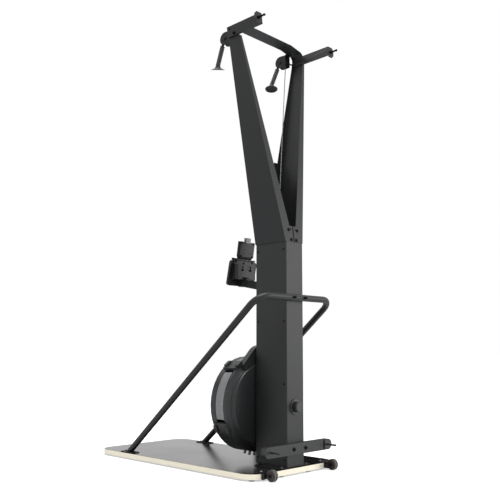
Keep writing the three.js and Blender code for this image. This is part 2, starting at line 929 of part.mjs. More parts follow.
// A grip whose foot is tilted, and then turned about the grip.
function handleBody(footTilt, footTurn) {
  const grip = turned(gripProfile, roundSides, Z);
  const foot = spun(turned(footFlareProfile, roundSides, Z), X, radians(footTilt));
  return joined(grip, spun(moved(foot, 0, 0, gripEnd), Z, radians(footTurn)));
}
const cordLead = bar(cordRadius, handleZ + leadGap, pulleyZ - seat, cordSides, Z);
function addHandle(side, sign, lean, tilt, body) {
  const handle = add("handle_" + side, body, plastic);
  handle.position.set(sign * pulleyX, handleY, handleZ);
  handle.rotation.set(radians(-tilt), radians(-lean), 0);
  add("cord_lead_" + side, moved(cordLead, sign * pulleyX, handleY, 0), greyCord);
}
const rightHandle = handleBody(handleRightFootTilt, handleRightFootTurn);
const leftHandle = handleBody(handleLeftFootTilt, handleLeftFootTurn);
addHandle("right", 1, handleRightLean, handleRightTilt, rightHandle);
addHandle("left", -1, handleLeftLean, handleLeftTilt, leftHandle);

// Drive cords: over the top pulley, down between the arms and into the column to their drums

const drumPathRadius = drumRadius + seat + cordRadius;
function cordRoute(sign, drumY) {
  const points = [];
  for (let step = 0; step <= cordWrapSteps; step += 1) {
    const angle = Math.PI - (Math.PI * step) / cordWrapSteps;
    points.push(
      new THREE.Vector3(
        sign * pulleyX,
        -pulleyAxleY + cordPathRadius * Math.cos(angle),
        pulleyZ + cordPathRadius * Math.sin(angle),
      ),
    );
  }
  points.push(new THREE.Vector3(sign * cordHoleX, -cordHoleY, capZ));
  points.push(new THREE.Vector3(drumPathRadius, drumY, fanAxisHeight));
  return points;
}
const drumLeftY = -drumLeftFront + drumLength / 2;
const drumRightY = -drumRightFront + drumLength / 2;
add("drive_cord_left", tube(cordRoute(-1, drumLeftY), cordRadius, cordSides), greyCord);
add("drive_cord_right", tube(cordRoute(1, drumRightY), cordRadius, cordSides), greyCord);

// Fan housing: front cover with an intake grille, vented band, and rear shell with its hood

const fan = new THREE.Group();
fan.position.set(0, 0, fanAxisHeight);
machine.add(fan);

const fanInner = fanRadius - fanSheet;
const fanShoulderRadius = fanRadius - fanShoulderIn;
const fanDiscRadius = fanRadius - fanDiscIn;
const fanDishRadius = fanRadius - fanDishIn;
const intakeOuter = fanRadius - intakeIn;
const hoodRise = fanRadius + hoodOver;
const wheelRimRadius = fanRadius - wheelRimGap;
const dishY = -fanFront + fanDish;
const coverProfile = [
  [0, dishY],
  [fanHubRadius, dishY],
  [fanDishRadius, dishY],
  [fanDishRadius + fanDish, -fanFront],
  [fanRadius - fanRimRound, -fanFront],
  [fanRadius - fanRimFacet, -fanFront + fanRimFacet],
  [fanRadius, -fanFront + fanRimRound],
  [fanRadius, -fanFrontEdge],
  [fanInner, -fanFrontEdge],
  [fanInner, -fanFront + fanRimRound],
  [fanInner - fanRimRound, -fanFront + fanSheet],
  [fanDishRadius + fanDish, -fanFront + fanSheet],
  [fanDishRadius, dishY + fanSheet],
  [0, dishY + fanSheet],
];

// A lug on the drum's rim, at an angle above the +X axis.
function rimLug(angle, from, to, reach, width) {
  const lug = block(fanInner, fanRadius + reach, from, to, -width / 2, width / 2);
  return spun(lug, Y, -radians(angle));
}
const bothSides = (angles) => angles.flatMap((angle) => [angle, 180 - angle]);
// The low clamps that carry on over all three pieces of the housing.
const rimBridges = (from, to) =>
  bothSides(earAngles).map((angle) => rimLug(angle, from, to, bridgeHeight, bridgeWidth));
function coverBody() {
  const cover = turned(coverProfile, drumSides, Y);
  const lugs = bothSides(earAngles).map((angle) =>
    rimLug(angle, -fanFrontEdge - fanEarLength, -fanFrontEdge, fanEarHeight, fanEarWidth),
  );
  const bridges = rimBridges(-fanFrontEdge - fanEarLength, -fanFrontEdge);
  const slot = block(
    intakeInner, intakeOuter,
    dishY - overrun, dishY + fanSheet + overrun,
    -intakeWidth / 2, intakeWidth / 2,
  );
  const slots = Array.from({ length: intakeCount }, (_, i) => spun(slot, Y, (i * 2 * Math.PI) / intakeCount));
  return cut(joined(cover, ...lugs, ...bridges), ...slots);
}
add("fan_front_cover", coverBody(), darkSteel, fan);

function cageBody() {
  const front = -fanFrontEdge + seat;
  const rear = -fanRearEdge - seat;
  const ring = turned(
    [[fanInner, front], [fanRadius, front], [fanRadius, rear], [fanInner, rear], [fanInner, front]],
    drumSides,
    Y,
  );
  const middle = (front + rear) / 2;
  const slot = block(
    fanInner - overrun, fanRadius + overrun,
    middle - ventLength / 2, middle + ventLength / 2,
    -ventWidth / 2, ventWidth / 2,
  );
  const angles = [];
  for (let angle = ventSideFrom; angle <= ventSideTo; angle += ventPitch) {
    angles.push(angle, 180 - angle);
  }
  for (let angle = ventTopFrom; angle <= 180 - ventTopFrom; angle += ventPitch) {
    angles.push(angle);
  }
  const bridges = rimBridges(front, rear);
  return cut(joined(ring, ...bridges), ...angles.map((angle) => spun(slot, Y, -radians(angle))));
}
add("fan_cage", cageBody(), meshSteel, fan);

const rearOuter = [
  [0, -fanRearFace],
  [fanDiscRadius - fanSheet, -fanRearFace],
  [fanDiscRadius, -fanDiscY],
  [fanShoulderRadius, -fanShoulderY],
  [fanRadius, -fanShoulderY - fanRimRound],
  [fanRadius, -fanRearEdge],
  [0, -fanRearEdge],
];
const rearInner = [
  [0, -fanRearFace - fanSheet],
  [fanDiscRadius - fanSheet, -fanDiscY - fanSheet],
  [fanShoulderRadius - fanSheet, -fanShoulderY - fanSheet],
  [fanInner, -fanShoulderY - fanRimRound - fanSheet],
  [fanInner, -fanFrontEdge],
  [0, -fanFrontEdge],
];
// The hood is the drum's circle drawn out upwards by 45 degree tangents to a smaller round top.
function hoodBody() {
  const tangent = Math.PI / 4;
  const topCentre = (hoodRise - fanRadius) / (1 - Math.cos(tangent));
  const topRadius = hoodRise - topCentre;
  const shape = new THREE.Shape();
  shape.absarc(0, 0, fanRadius, Math.PI - tangent, 2 * Math.PI + tangent);
  shape.absarc(0, topCentre, topRadius, tangent, Math.PI - tangent);
  const slab = alongY(shape, -fanDiscY - hoodThickness, -fanDiscY, drumSides / 2);
  const reach = hoodRise * 2;
  const side = [reach * Math.cos(radians(hoodAngle)), reach * Math.sin(radians(hoodAngle))];
  const sector = alongY(
    outline([[0, 0], side, [-side[0], side[1]]]),
    -fanDiscY - hoodThickness - overrun,
    -fanDiscY + overrun,
  );
  return slab.intersect(sector);
}
function rearHousing() {
  const shell = turned(rearOuter, drumSides, Y);
  const lugs = bothSides(earAngles).map((angle) =>
    rimLug(angle, -fanRearEdge, -fanRearEdge + fanEarLength, fanEarHeight, fanEarWidth),
  );
  const bridges = rimBridges(-fanRearEdge, -fanRearEdge + ribLength);
  const ribs = ribAngles.map((angle) =>
    rimLug(angle, -fanRearEdge, -fanRearEdge + ribLength, ribReach, ribWidth),
  );
  const boss = block(
    -fanBossWidth / 2, fanBossWidth / 2,
    -fanRearFace - fanSheet, -columnDepth - seat,
    -fanBossHeight / 2, fanBossHeight / 2,
  );
  const hole = moved(shaftHole, 0, 0, -fanAxisHeight);
  const inside = turned(rearInner, drumSides, Y);
  return cut(joined(shell, hoodBody(), boss, ...lugs, ...bridges, ...ribs), hole, inside);
}
add("fan_rear_housing", rearHousing(), darkSteel, fan);

// Flywheel: a hub and disc with a heavy rim behind and slanted blades in front

function flywheelBody() {
  const bore = shaftRadius + seat;
  const discFront = -wheelDiscFront;
  const discRear = discFront + wheelDiscSheet;
  const profile = [
    [bore, -wheelHubFront],
    [wheelHubRadius, -wheelHubFront],
    [wheelHubRadius, discFront],
    [wheelRimRadius, discFront],
    [wheelRimRadius, discRear + wheelRimLength],
    [wheelRimRadius - wheelRimWidth, discRear + wheelRimLength],
    [wheelRimRadius - wheelRimWidth, discRear],
    [wheelHubRadius, discRear],
    [wheelHubRadius, -wheelHubRear],
    [bore, -wheelHubRear],
    [bore, -wheelHubFront],
  ];
  const disc = turned(profile, drumSides, Y);
  const bladeTall = bladeFront - wheelDiscFront + bladeSheet;
  const flat = new THREE.BoxGeometry(bladeLength, bladeTall, bladeSheet);
  flat.rotateY(radians(bladeAngle));
  flat.translate(wheelRimRadius - bladeLength / 2 - bladeIn, discFront + bladeSheet - bladeTall / 2, 0);
  const blade = solid(flat);
  const blades = Array.from({ length: bladeCount }, (_, i) => spun(blade, Y, (i * 2 * Math.PI) / bladeCount));
  return joined(disc, ...blades);
}
add("flywheel", flywheelBody(), steel, fan);
add("flywheel_shaft", bar(shaftRadius, -shaftFront, -shaftRear, roundSides, Y), steel, fan);

// Bearings on the column's front and rear walls
const bearingBore = shaftRadius + runningGap;
function bearingBody(wallY, inwards) {
  const from = wallY + inwards * seat;
  const to = from + inwards * bearingLength;
  const flangeTo = from + inwards * bearingFlangeSheet;
  const half = bearingFlange / 2;
  const flange = block(-half, half, from, flangeTo, -half, half);
  const collar = bar(bearingRadius, Math.min(from, to), Math.max(from, to), roundSides, Y);
  const bore = bar(bearingBore, Math.min(from, to) - overrun, Math.max(from, to) + overrun, roundSides, Y);
  return cut(joined(flange, collar), bore);
}
add("bearing_front", bearingBody(-columnDepth + panelSheet, 1), steel, fan);
add("bearing_rear", bearingBody(-panelSheet, -1), steel, fan);

// Cord drums and the case of the spring that winds the cords back
function drumBody(front) {
  const rear = front + drumLength;
  return turned(
    [
      [bearingBore, front],
      [drumFlangeRadius, front],
      [drumFlangeRadius, front + drumFlangeSheet],
      [drumRadius, front + drumFlangeSheet],
      [drumRadius, rear - drumFlangeSheet],
      [drumFlangeRadius, rear - drumFlangeSheet],
      [drumFlangeRadius, rear],
      [bearingBore, rear],
      [bearingBore, front],
    ],
    roundSides,
    Y,
  );
}
add("cord_drum_left", drumBody(-drumLeftFront), plastic, fan);
add("cord_drum_right", drumBody(-drumRightFront), plastic, fan);
const caseRear = -springCaseFront + springCaseLength;
add(
  "return_spring_case",
  turned(
    [
      [bearingBore, -springCaseFront],
      [springCaseRadius, -springCaseFront],
      [springCaseRadius, caseRear],
      [bearingBore, caseRear],
      [bearingBore, -springCaseFront],
    ],
    roundSides,
    Y,
  ),
  darkSteel,
  fan,
);

// Resistance knob and its dial on the column's rear face

const dial = joined(
  turned(
    [
      [knobSpindleRadius + runningGap, seat],
      [dialRadius, seat],
      [dialRadius, seat + dialEdge],
      [dialRadius - dialThickness / 2, seat + dialThickness],
      [knobSpindleRadius + runningGap, seat + dialThickness],
      [knobSpindleRadius + runningGap, seat],
    ],
    roundSides,
    Y,
  ),
  block(
    -pointerWidth / 2, pointerWidth / 2,
    seat + dialThickness / 2, seat + pointerTop,
    -dialRadius + dialThickness / 2, -dialRadius + dialThickness / 2 + pointerLength,
  ),
);
add("knob_dial", moved(dial, 0, 0, knobHeight), blackSteel);

function knobBody() {
  const foot = seat + pointerTop + seat;
  const profile = [
    [0, -knobSpindleIn],
    [knobSpindleRadius, -knobSpindleIn],
    [knobSpindleRadius, foot],
    [knobRadius, foot],
    [knobRadius, knobReach - dialThickness],
    [knobRadius - dialThickness, knobReach],
    [0, knobReach],
  ];
  const body = turned(profile, 2 * roundSides, Y);
  const flute = moved(
    bar(knobFluteRadius, foot + dialThickness, knobReach + overrun, cordSides, Y),
    knobRadius + knobFluteOut, 0, 0,
  );
  const flutes = Array.from({ length: knobFlutes }, (_, i) => spun(flute, Y, (i * 2 * Math.PI) / knobFlutes));
  return cut(body, ...flutes);
}
add("resistance_knob", moved(knobBody(), 0, 0, knobHeight), plastic);

// Bottom bar: a pressed tray with round ends and two studs

function barBody() {
  const shell = alongY(roundRect(0, barHeight, barWidth, barTall, barTall / 2), seat, barReach);
  const inner = roundRect(0, barHeight, barWidth - 2 * barSheet, barTall - 2 * barSheet, barTall / 2);
  const hollow = alongY(inner, seat - overrun, barReach - barSheet);
  const tip = barReach + studLength;
  const stud = turned(
    [
      [0, barReach - barSheet],
      [studRadius, barReach - barSheet],
      [studRadius, tip - studTipLength],
      [studTipRadius, tip - studTipLength],
      [studTipRadius, tip - studTipLength / 2],
      [studRadius, tip],
      [0, tip],
    ],
    roundSides,
    Y,
  );
  return joined(cut(shell, hollow), moved(stud, studX, 0, barHeight), moved(stud, -studX, 0, barHeight));
}
add("bottom_bar", barBody(), blackSteel);

// Brace: one tube from each side of the board up to the column's rear face

const braceSpread = boardWidth / 2 - braceIn;
function braceBody() {
  const lateralY = seat + braceRadius;
  const footDrop = braceRadius * 2;
  const corner = new THREE.Vector3(braceSpread, lateralY, braceHeight);
  const start = new THREE.Vector3(braceSpread, -braceFootY - footDrop / braceSlope, -footDrop);
  const legDirection = corner.clone().sub(start).normalize();
  const cross = X.clone().negate();
  const half = Math.acos(legDirection.dot(cross)) / 2;
  const reach = braceBend * Math.tan(half);
  const bendStart = corner.clone().addScaledVector(legDirection, -reach);
  const towards = cross.clone().addScaledVector(legDirection, -legDirection.dot(cross)).normalize();
  const centre = bendStart.clone().addScaledVector(towards, braceBend);
  const points = [start];
  for (let step = 0; step <= braceBendSteps; step += 1) {
    const angle = (half * 2 * step) / braceBendSteps;
    points.push(
      centre.clone()
        .addScaledVector(towards, -braceBend * Math.cos(angle))
        .addScaledVector(legDirection, braceBend * Math.sin(angle)),
    );
  }
  const far = points.map((p) => new THREE.Vector3(-p.x, p.y, p.z)).reverse();
  const below = block(
    -boardWidth, boardWidth,
    -boardFront, 0,
    -boardWidth, seat + braceFootSheet + seat,
  );
  return cut(tube([...points, ...far], braceRadius, braceSides), below);
}
add("brace_tube", braceBody(), blackSteel);

const braceFootMiddle = -(braceFootFront + braceFootRear) / 2;
addPair(
  "brace_foot",
  alongZ(
    roundRect(
      braceSpread - seat, braceFootMiddle,
      braceFootWidth, braceFootFront - braceFootRear, braceFootCorner,
    ),
    seat, seat + braceFootSheet, cornerSteps,
  ),
  darkSteel,
);

// Transport wheels on cheeks behind the board

const wheelInX = boardWidth / 2 - wheelIn;
const wheelOutX = wheelInX + wheelWidth;
const cheekX = wheelInX - wheelCheekIn;
const webY = boardRear + seat;
function wheelBracketBody() {
  const sheet = wheelBracketSheet;
  const outX = wheelOutX + wheelCheekOut;
  const top = seat + sheet;
  const plate = block(cheekX - sheet, outX, boardRear - wheelBracketFront, webY + sheet, seat, top);
  const web = block(cheekX - sheet, outX, webY, webY + sheet, -wheelWebDown, top);
  const outerCheek = block(outX - sheet, outX, webY, webY + wheelOuterCheek, -wheelWebDown, top);
  const arm = roundRect(
    (webY + wheelY + wheelAxleRadius * 2) / 2, (top - wheelWebDown) / 2,
    wheelY + wheelAxleRadius * 2 - webY, top + wheelWebDown, wheelAxleRadius,
  );
  const innerCheek = alongX(arm, cheekX - sheet, cheekX);
  const hole = moved(
    bar(wheelAxleRadius + seat, cheekX - overrun, cheekX + overrun, smallSides, X), 0, wheelY, -wheelDrop,
  );
  return cut(joined(plate, web, outerCheek, innerCheek), hole);
}
addPair("wheel_bracket", wheelBracketBody(), darkSteel);

const wheelAxleProfile = [
  [0, cheekX - wheelBracketSheet - seat - wheelHeadLength],
  [wheelHeadRadius, cheekX - wheelBracketSheet - seat - wheelHeadLength],
  [wheelHeadRadius, cheekX - wheelBracketSheet - seat],
  [wheelAxleRadius, cheekX - wheelBracketSheet - seat],
  [wheelAxleRadius, wheelOutX + runningGap],
  [wheelHeadRadius, wheelOutX + runningGap],
  [wheelHeadRadius, wheelOutX + runningGap + wheelHeadLength],
  [0, wheelOutX + runningGap + wheelHeadLength],
];
addPair("wheel_axle", moved(turned(wheelAxleProfile, smallSides, X), 0, wheelY, -wheelDrop), darkSteel);

const wheelBore = wheelAxleRadius + runningGap;
const wheelMiddle = wheelInX + wheelWidth / 2;
const wheelProfile = [
  [wheelBore, wheelInX],
  [wheelRadius - wheelTread, wheelInX],
  [wheelRadius, wheelInX + wheelTread],
  [wheelRadius, wheelMiddle - wheelTread / 2],
  [wheelRadius - wheelTread / 2, wheelMiddle],
  [wheelRadius, wheelMiddle + wheelTread / 2],
  [wheelRadius, wheelOutX - wheelTread],
  [wheelRadius - wheelTread, wheelOutX],
  [wheelBore, wheelOutX],
  [wheelBore, wheelInX],
];
addPair("transport_wheel", moved(turned(wheelProfile, roundSides, X), 0, wheelY, -wheelDrop), tyreGrey);

// Monitor arm: a folded channel from the column's front with a round nose at the pivot

const armHalf = monitorArmWidth / 2;
const monitorArmRoot = pivotHeight - monitorArmBelow;
function monitorArmBody() {
  const root = -columnDepth - seat;
  const nose = new THREE.Shape();
  nose.moveTo(root, monitorArmRoot);
  nose.lineTo(root, monitorArmRoot + monitorArmTall);
  nose.absarc(-pivotY, pivotHeight, pivotNose, radians(noseFrom), radians(noseTo));
  nose.closePath();
  const outside = alongX(nose, -armHalf, armHalf, arcSteps);
  const half = armHalf - monitorArmSheet;
  const inside = block(
    -half, half,
    -pivotY - pivotNose - overrun, root - monitorArmSheet,
    monitorArmRoot + monitorArmSheet, pivotHeight + pivotNose + overrun,
  );
  const mouth = block(
    -half, half,
    -pivotY - pivotNose - overrun, -pivotY + pivotNose + overrun,
    monitorArmRoot, pivotHeight + pivotNose + overrun,
  );
  const head = armHalf + pivotHeadLength;
  const pin = moved(bar(pivotRadius, -head, head, smallSides, X), 0, -pivotY, pivotHeight);
  const headRight = moved(bar(pivotHeadRadius, armHalf, head, smallSides, X), 0, -pivotY, pivotHeight);
  const headLeft = moved(bar(pivotHeadRadius, -head, -armHalf, smallSides, X), 0, -pivotY, pivotHeight);
  return joined(cut(outside, inside, mouth), pin, headRight, headLeft);
}
add("monitor_arm", monitorArmBody(), darkSteel);

// Monitor: places are measured from the pivot, and the front face leans back

const monitor = new THREE.Group();
monitor.position.set(0, -pivotY, pivotHeight);
machine.add(monitor);

const bezelRun = bezelBottomY - bezelTopY;
const bezelTall = bezelTopZ - bezelBottomZ;
const faceLength = Math.hypot(bezelRun, bezelTall);
const faceLean = Math.atan2(bezelRun, bezelTall);
// A body drawn with its front face upright at y = 0 and its lower edge at z = 0, put on the lean.
function onFace(body) {
  return moved(spun(body, X, -faceLean), 0, -bezelBottomY, bezelBottomZ);
}
const screenWidth = 2 * (bezelHalf - screenMargin);
const screenTall = faceLength - screenMargin - screenBelow;
const screenMiddle = screenBelow + screenTall / 2;
function monitorBody() {
  const bezelShape = roundRect(0, faceLength / 2, 2 * bezelHalf, faceLength, bezelCorner);
  const bezel = alongY(bezelShape, 0, bezelThickness, cornerSteps);
  const recess = alongY(
    roundRect(0, screenMiddle, screenWidth, screenTall, bezelCorner / 2), -overrun, screenDepth, cornerSteps,
  );
  const lean = Math.tan(faceLean);
  const bezelRear = (z) => -bezelBottomY + (z - bezelBottomZ) * lean + bezelBack;
  const behindBezel = (rear, bottom) => outline([
    [bezelRear(bottom), bottom],
    [-rear, bottom],
    [-rear, bezelTopZ],
    [bezelRear(bezelTopZ), bezelTopZ],
  ]);
  const back = alongX(behindBezel(backY, backBottomZ), -backHalf, backHalf);
  const band = alongX(behindBezel(bandY, bandBottomZ), -bandHalf, bandHalf);
  const bulgeRing = (y, half) => [
    [-half, y, bulgeBottomZ],
    [half, y, bulgeBottomZ],
    [half, y, bulgeTopZ],
    [-half, y, bulgeTopZ],
  ];
  const bulge = loft([
    bulgeRing(-backY - overrun, bulgeWide),
    bulgeRing(-backY + bulgeStep, bulgeWide),
    bulgeRing(-bulgeY, bulgeHalf),
  ]);
  const tongueHalf = armHalf - monitorArmSheet - runningGap;
  const tongue = new THREE.Shape();
  tongue.moveTo(bezelRear(bulgeBottomZ + overrun), bulgeBottomZ + overrun);
  tongue.lineTo(bezelRear(0), -tongueRadius);
  tongue.absarc(0, 0, tongueRadius, -Math.PI / 2, radians(tongueRise));
  tongue.lineTo(tongueRadius / 2, bulgeBottomZ + overrun);
  tongue.closePath();
  const tongueBody = alongX(tongue, -tongueHalf, tongueHalf, arcSteps);
  const pivotHole = bar(pivotRadius + runningGap, -bezelHalf, bezelHalf, smallSides, X);
  return cut(joined(onFace(cut(bezel, recess)), back, band, bulge, tongueBody), pivotHole);
}
add("monitor_body", monitorBody(), plastic, monitor);

const screenShape = roundRect(
  0, screenMiddle, screenWidth - 2 * seat, screenTall - 2 * seat, bezelCorner / 2,
);
const screenBack = screenDepth - seat;
add("monitor_screen", onFace(alongY(screenShape, screenBack - screenSheet, screenBack)), screenGlass, monitor);

// Device holder on top of the monitor, with a clip that slides up out of it

const holder = new THREE.Group();
holder.position.set(0, -holderRearY, bezelTopZ + seat);
monitor.add(holder);
// A body drawn upright on the base's rear edge, put on the plate's lean.
function onHolder(body) {
  return moved(spun(body, X, -radians(holderLean)), 0, 0, holderBaseTall);
}
const plateTall = holderTall - holderBaseTall;

const clipSlotDepth = clipSheet + 2 * runningGap;
const clipY = -holderDepth / 2;
function holderBody() {
  const ring = (z, half, front, rear) => [
    [-half, front, z],
    [half, front, z],
    [half, rear, z],
    [-half, rear, z],
  ];
  const base = loft([
    ring(0, holderBaseHalf, -holderDepth - holderLedge, 0),
    ring(holderBaseTall, holderBaseHalf, -holderDepth - holderLedge, 0),
  ]);
  const lip = block(
    -holderBaseHalf, holderBaseHalf,
    -holderDepth - holderLedge, -holderDepth - holderLedge + holderLip / 2,
    holderBaseTall - seat, holderBaseTall + holderLip,
  );
  const plate = loft([
    ring(-holderBaseTall / 2, holderFootHalf, -holderDepth, -holderFootIn),
    ring(0, holderFootHalf, -holderDepth, -holderFootIn),
    ring(holderFootTall, holderHalf, -holderDepth, 0),
    ring(plateTall, holderHalf, -holderDepth, 0),
  ]);
  const half = clipWidth / 2 + runningGap;
  const slot = block(
    -half, half,
    clipY - clipSlotDepth / 2, clipY + clipSlotDepth / 2,
    plateTall - clipInside - seat, plateTall + overrun,
  );
  return joined(base, lip, onHolder(cut(plate, slot)));
}
add("device_holder", holderBody(), plastic, holder);

function clipBody() {
  const half = clipWidth / 2;
  const top = plateTall + clipAbove;
  const blade = block(-half, half, clipY - clipSheet / 2, clipY + clipSheet / 2, plateTall - clipInside, top);
  const hookFront = -holderDepth - clipHookReach;
  const lapRear = seat + clipLapSheet;
  const lap = block(-half, half, seat, lapRear, plateTall - clipLap, top);
  const hook = block(-half, half, hookFront, lapRear, top - clipHookTall, top);
  const lip = block(-half, half, hookFront, hookFront + clipHookTall, top - 2 * clipHookTall, top);
  return onHolder(joined(blade, lap, hook, lip));
}
add("holder_clip", clipBody(), lightPlastic, holder);

// The machine stands with its feet on z = 0, and x = y = 0 is the middle of its footprint.
const root = new THREE.Group();
machine.position.set(0, (boardFront - barReach - studLength) / 2, -floor);
root.add(machine);

export default root;
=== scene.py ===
import json
import math

import bmesh
import bpy
from mathutils import Matrix, Vector

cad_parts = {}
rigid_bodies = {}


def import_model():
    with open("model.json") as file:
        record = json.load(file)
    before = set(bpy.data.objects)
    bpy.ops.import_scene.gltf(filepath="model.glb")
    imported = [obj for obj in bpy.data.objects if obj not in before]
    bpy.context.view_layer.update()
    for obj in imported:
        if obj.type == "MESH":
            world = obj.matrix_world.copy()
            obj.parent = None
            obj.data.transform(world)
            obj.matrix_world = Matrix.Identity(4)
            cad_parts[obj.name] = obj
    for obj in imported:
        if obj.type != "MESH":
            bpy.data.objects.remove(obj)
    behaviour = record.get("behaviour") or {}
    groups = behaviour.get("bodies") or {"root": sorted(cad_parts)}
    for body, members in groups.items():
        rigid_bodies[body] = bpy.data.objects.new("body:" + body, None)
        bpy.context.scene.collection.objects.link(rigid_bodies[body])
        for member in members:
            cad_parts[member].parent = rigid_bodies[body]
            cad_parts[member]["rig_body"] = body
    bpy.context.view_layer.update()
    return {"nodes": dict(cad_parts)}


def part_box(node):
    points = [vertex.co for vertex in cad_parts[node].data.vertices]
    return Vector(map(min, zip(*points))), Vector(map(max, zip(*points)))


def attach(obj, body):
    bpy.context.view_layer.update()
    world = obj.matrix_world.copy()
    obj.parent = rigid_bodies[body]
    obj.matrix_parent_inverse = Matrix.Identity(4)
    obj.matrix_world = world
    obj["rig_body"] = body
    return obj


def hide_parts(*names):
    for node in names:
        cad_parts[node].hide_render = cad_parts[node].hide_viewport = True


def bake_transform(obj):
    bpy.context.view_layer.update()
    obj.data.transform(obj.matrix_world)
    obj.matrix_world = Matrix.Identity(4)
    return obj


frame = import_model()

# Picture
# The machine stands on a white studio floor under soft light, seen from behind on its right side
# and from below its middle.
column_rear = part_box("column_spine")[1].y
board_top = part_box("platform_board")[1].z


def spot(x, y, z):
    """A place in millimetres from the middle of the column's rear face and the board's top."""
    return Vector((x / 1000, y / 1000 + column_rear, z / 1000 + board_top))


camera = bpy.data.objects.new("camera", bpy.data.cameras.new("camera"))
bpy.context.scene.collection.objects.link(camera)
bpy.context.scene.camera = camera
to_the_right = Vector((-0.69913677, 0.71498458, 0.00219814))
upwards = Vector((0.10069683, 0.0954202, 0.99033082))
backwards = Vector((0.70786151, 0.69259804, -0.13870845))
turn = Matrix((to_the_right, upwards, backwards)).transposed().to_4x4()
eye = spot(2549.5, 2192.5, 555)
camera.matrix_world = Matrix.Translation(eye) @ turn
camera.data.lens = 49.98
camera.data.sensor_width = 36
camera.data.clip_end = 200
bpy.context.scene.view_settings.view_transform = "Standard"


def linear(code):
    """An sRGB hex colour as linear red, green, blue and alpha."""
    shares = [int(code[i : i + 2], 16) / 255 for i in (1, 3, 5)]
    bent = [s / 12.92 if s <= 0.04045 else ((s + 0.055) / 1.055) ** 2.4 for s in shares]
    return (*bent, 1)


def add(tree, kind, settings=None, **sockets):
    """A node of a tree with its settings. A socket takes a value or another node's output.

    A socket goes by its name, or by its number after a low line.
    """
    node = tree.nodes.new(kind)
    for name, value in (settings or {}).items():
        setattr(node, name, value)
    for name, value in sockets.items():
        key = int(name[1:]) if name[1:].isdigit() else name.replace("_", " ")
        socket = node.inputs[key]
        if isinstance(value, bpy.types.NodeSocket):
            tree.links.new(value, socket)
        else:
            socket.default_value = value
    return node


# The world is white for the camera and for reflections, and lights the machine more softly.
world = bpy.data.worlds.new("studio")
bpy.context.scene.world = world
world.use_nodes = True
studio = world.node_tree
studio.nodes.clear()
rays = add(studio, "ShaderNodeLightPath").outputs
seen = rays["Is Camera Ray"]
for ray in ("Is Glossy Ray", "Is Transmission Ray"):
    seen = add(studio, "ShaderNodeMath", {"operation": "MAXIMUM"}, _0=seen, _1=rays[ray]).outputs[0]
soft = add(studio, "ShaderNodeBackground", Color=linear("#f4f6fa"), Strength=0.6)
white = add(studio, "ShaderNodeBackground", Color=(1, 1, 1, 1), Strength=1.0)
chosen = add(studio, "ShaderNodeMixShader", _0=seen, _1=soft.outputs[0], _2=white.outputs[0])
add(studio, "ShaderNodeOutputWorld", Surface=chosen.outputs[0])


def soft_box(name, place, aim, width, height, watts):
    """A rectangular lamp at a place in metres, aimed at another."""
    lamp = bpy.data.lights.new(name, "AREA")
    lamp.shape = "RECTANGLE"
    lamp.size = width
    lamp.size_y = height
    lamp.energy = watts
    holder = bpy.data.objects.new(name, lamp)
    bpy.context.scene.collection.objects.link(holder)
    holder.location = place
    holder.rotation_mode = "QUATERNION"
    holder.rotation_quaternion = (Vector(aim) - Vector(place)).to_track_quat("-Z", "Y")


soft_box("rear_soft_box", (-3.2, 4.2, 1.2), (0, 0.5, 0.7), 3.0, 3.0, 100)
soft_box("top_soft_box", (0.6, 1.0, 4.6), (0, 0.0, 0.6), 2.6, 2.6, 150)

reach = 60
floor_corners = [(-reach, -reach, 0), (reach, -reach, 0), (reach, reach, 0), (-reach, reach, 0)]
floor_mesh = bpy.data.meshes.new("studio_floor")
floor_mesh.from_pydata(floor_corners, [], [(0, 1, 2, 3)])
floor = bpy.data.objects.new("studio_floor", floor_mesh)
bpy.context.scene.collection.objects.link(floor)


def material(name):
    """An empty material, its node tree and the surface socket of its output."""
    made = bpy.data.materials.new(name)
    made.use_nodes = True
    made.node_tree.nodes.clear()
    output = add(made.node_tree, "ShaderNodeOutputMaterial")
    return made, made.node_tree, output.inputs["Surface"]


# Matt white paper: it keeps the shadow, and its lit part is lifted to the white of the background.
paper, tree, surface = material("studio_paper")
shade = add(tree, "ShaderNodeBsdfDiffuse", Color=linear("#f2f2f2"))
path = add(tree, "ShaderNodeLightPath")
lift = add(
    tree, "ShaderNodeMath", {"operation": "MULTIPLY"},
    _0=path.outputs["Is Camera Ray"], _1=0.55,
)
glow = add(tree, "ShaderNodeEmission", Strength=lift.outputs[0])
both = add(tree, "ShaderNodeAddShader", _0=shade.outputs[0], _1=glow.outputs[0])
tree.links.new(both.outputs[0], surface)
floor_mesh.materials.append(paper)

# A black card beyond the column keeps the white surroundings out of the gloss of the board's rear
# corner, as photographers do with a flag. Only reflections see it.
flag_mesh = bpy.data.meshes.new("black_card")
flag_feet = [(-1060, -1290), (-1310, -590)]
flag_height = 800
flag_corners = [spot(x, y, z) for z in (0, flag_height) for x, y in flag_feet]
flag_mesh.from_pydata(flag_corners, [], [(0, 1, 3, 2)])
flag = bpy.data.objects.new("black_card", flag_mesh)
bpy.context.scene.collection.objects.link(flag)
flag.visible_camera = False
flag.visible_diffuse = False
flag.visible_shadow = False
flag.visible_transmission = False
felt, tree, surface = material("black_felt")
shade = add(tree, "ShaderNodeBsdfDiffuse", Color=linear("#080808"))
tree.links.new(shade.outputs[0], surface)
flag_mesh.materials.append(felt)

# Column
# A rear and a front channel of folded 2.5 mm steel sheet, two flat side panels over them and a base
# plate on the board. The sheet is cut, bent and powder coated, and the panels are screwed on.

clouds_per_metre, sheen_swing = 5.0, 0.06


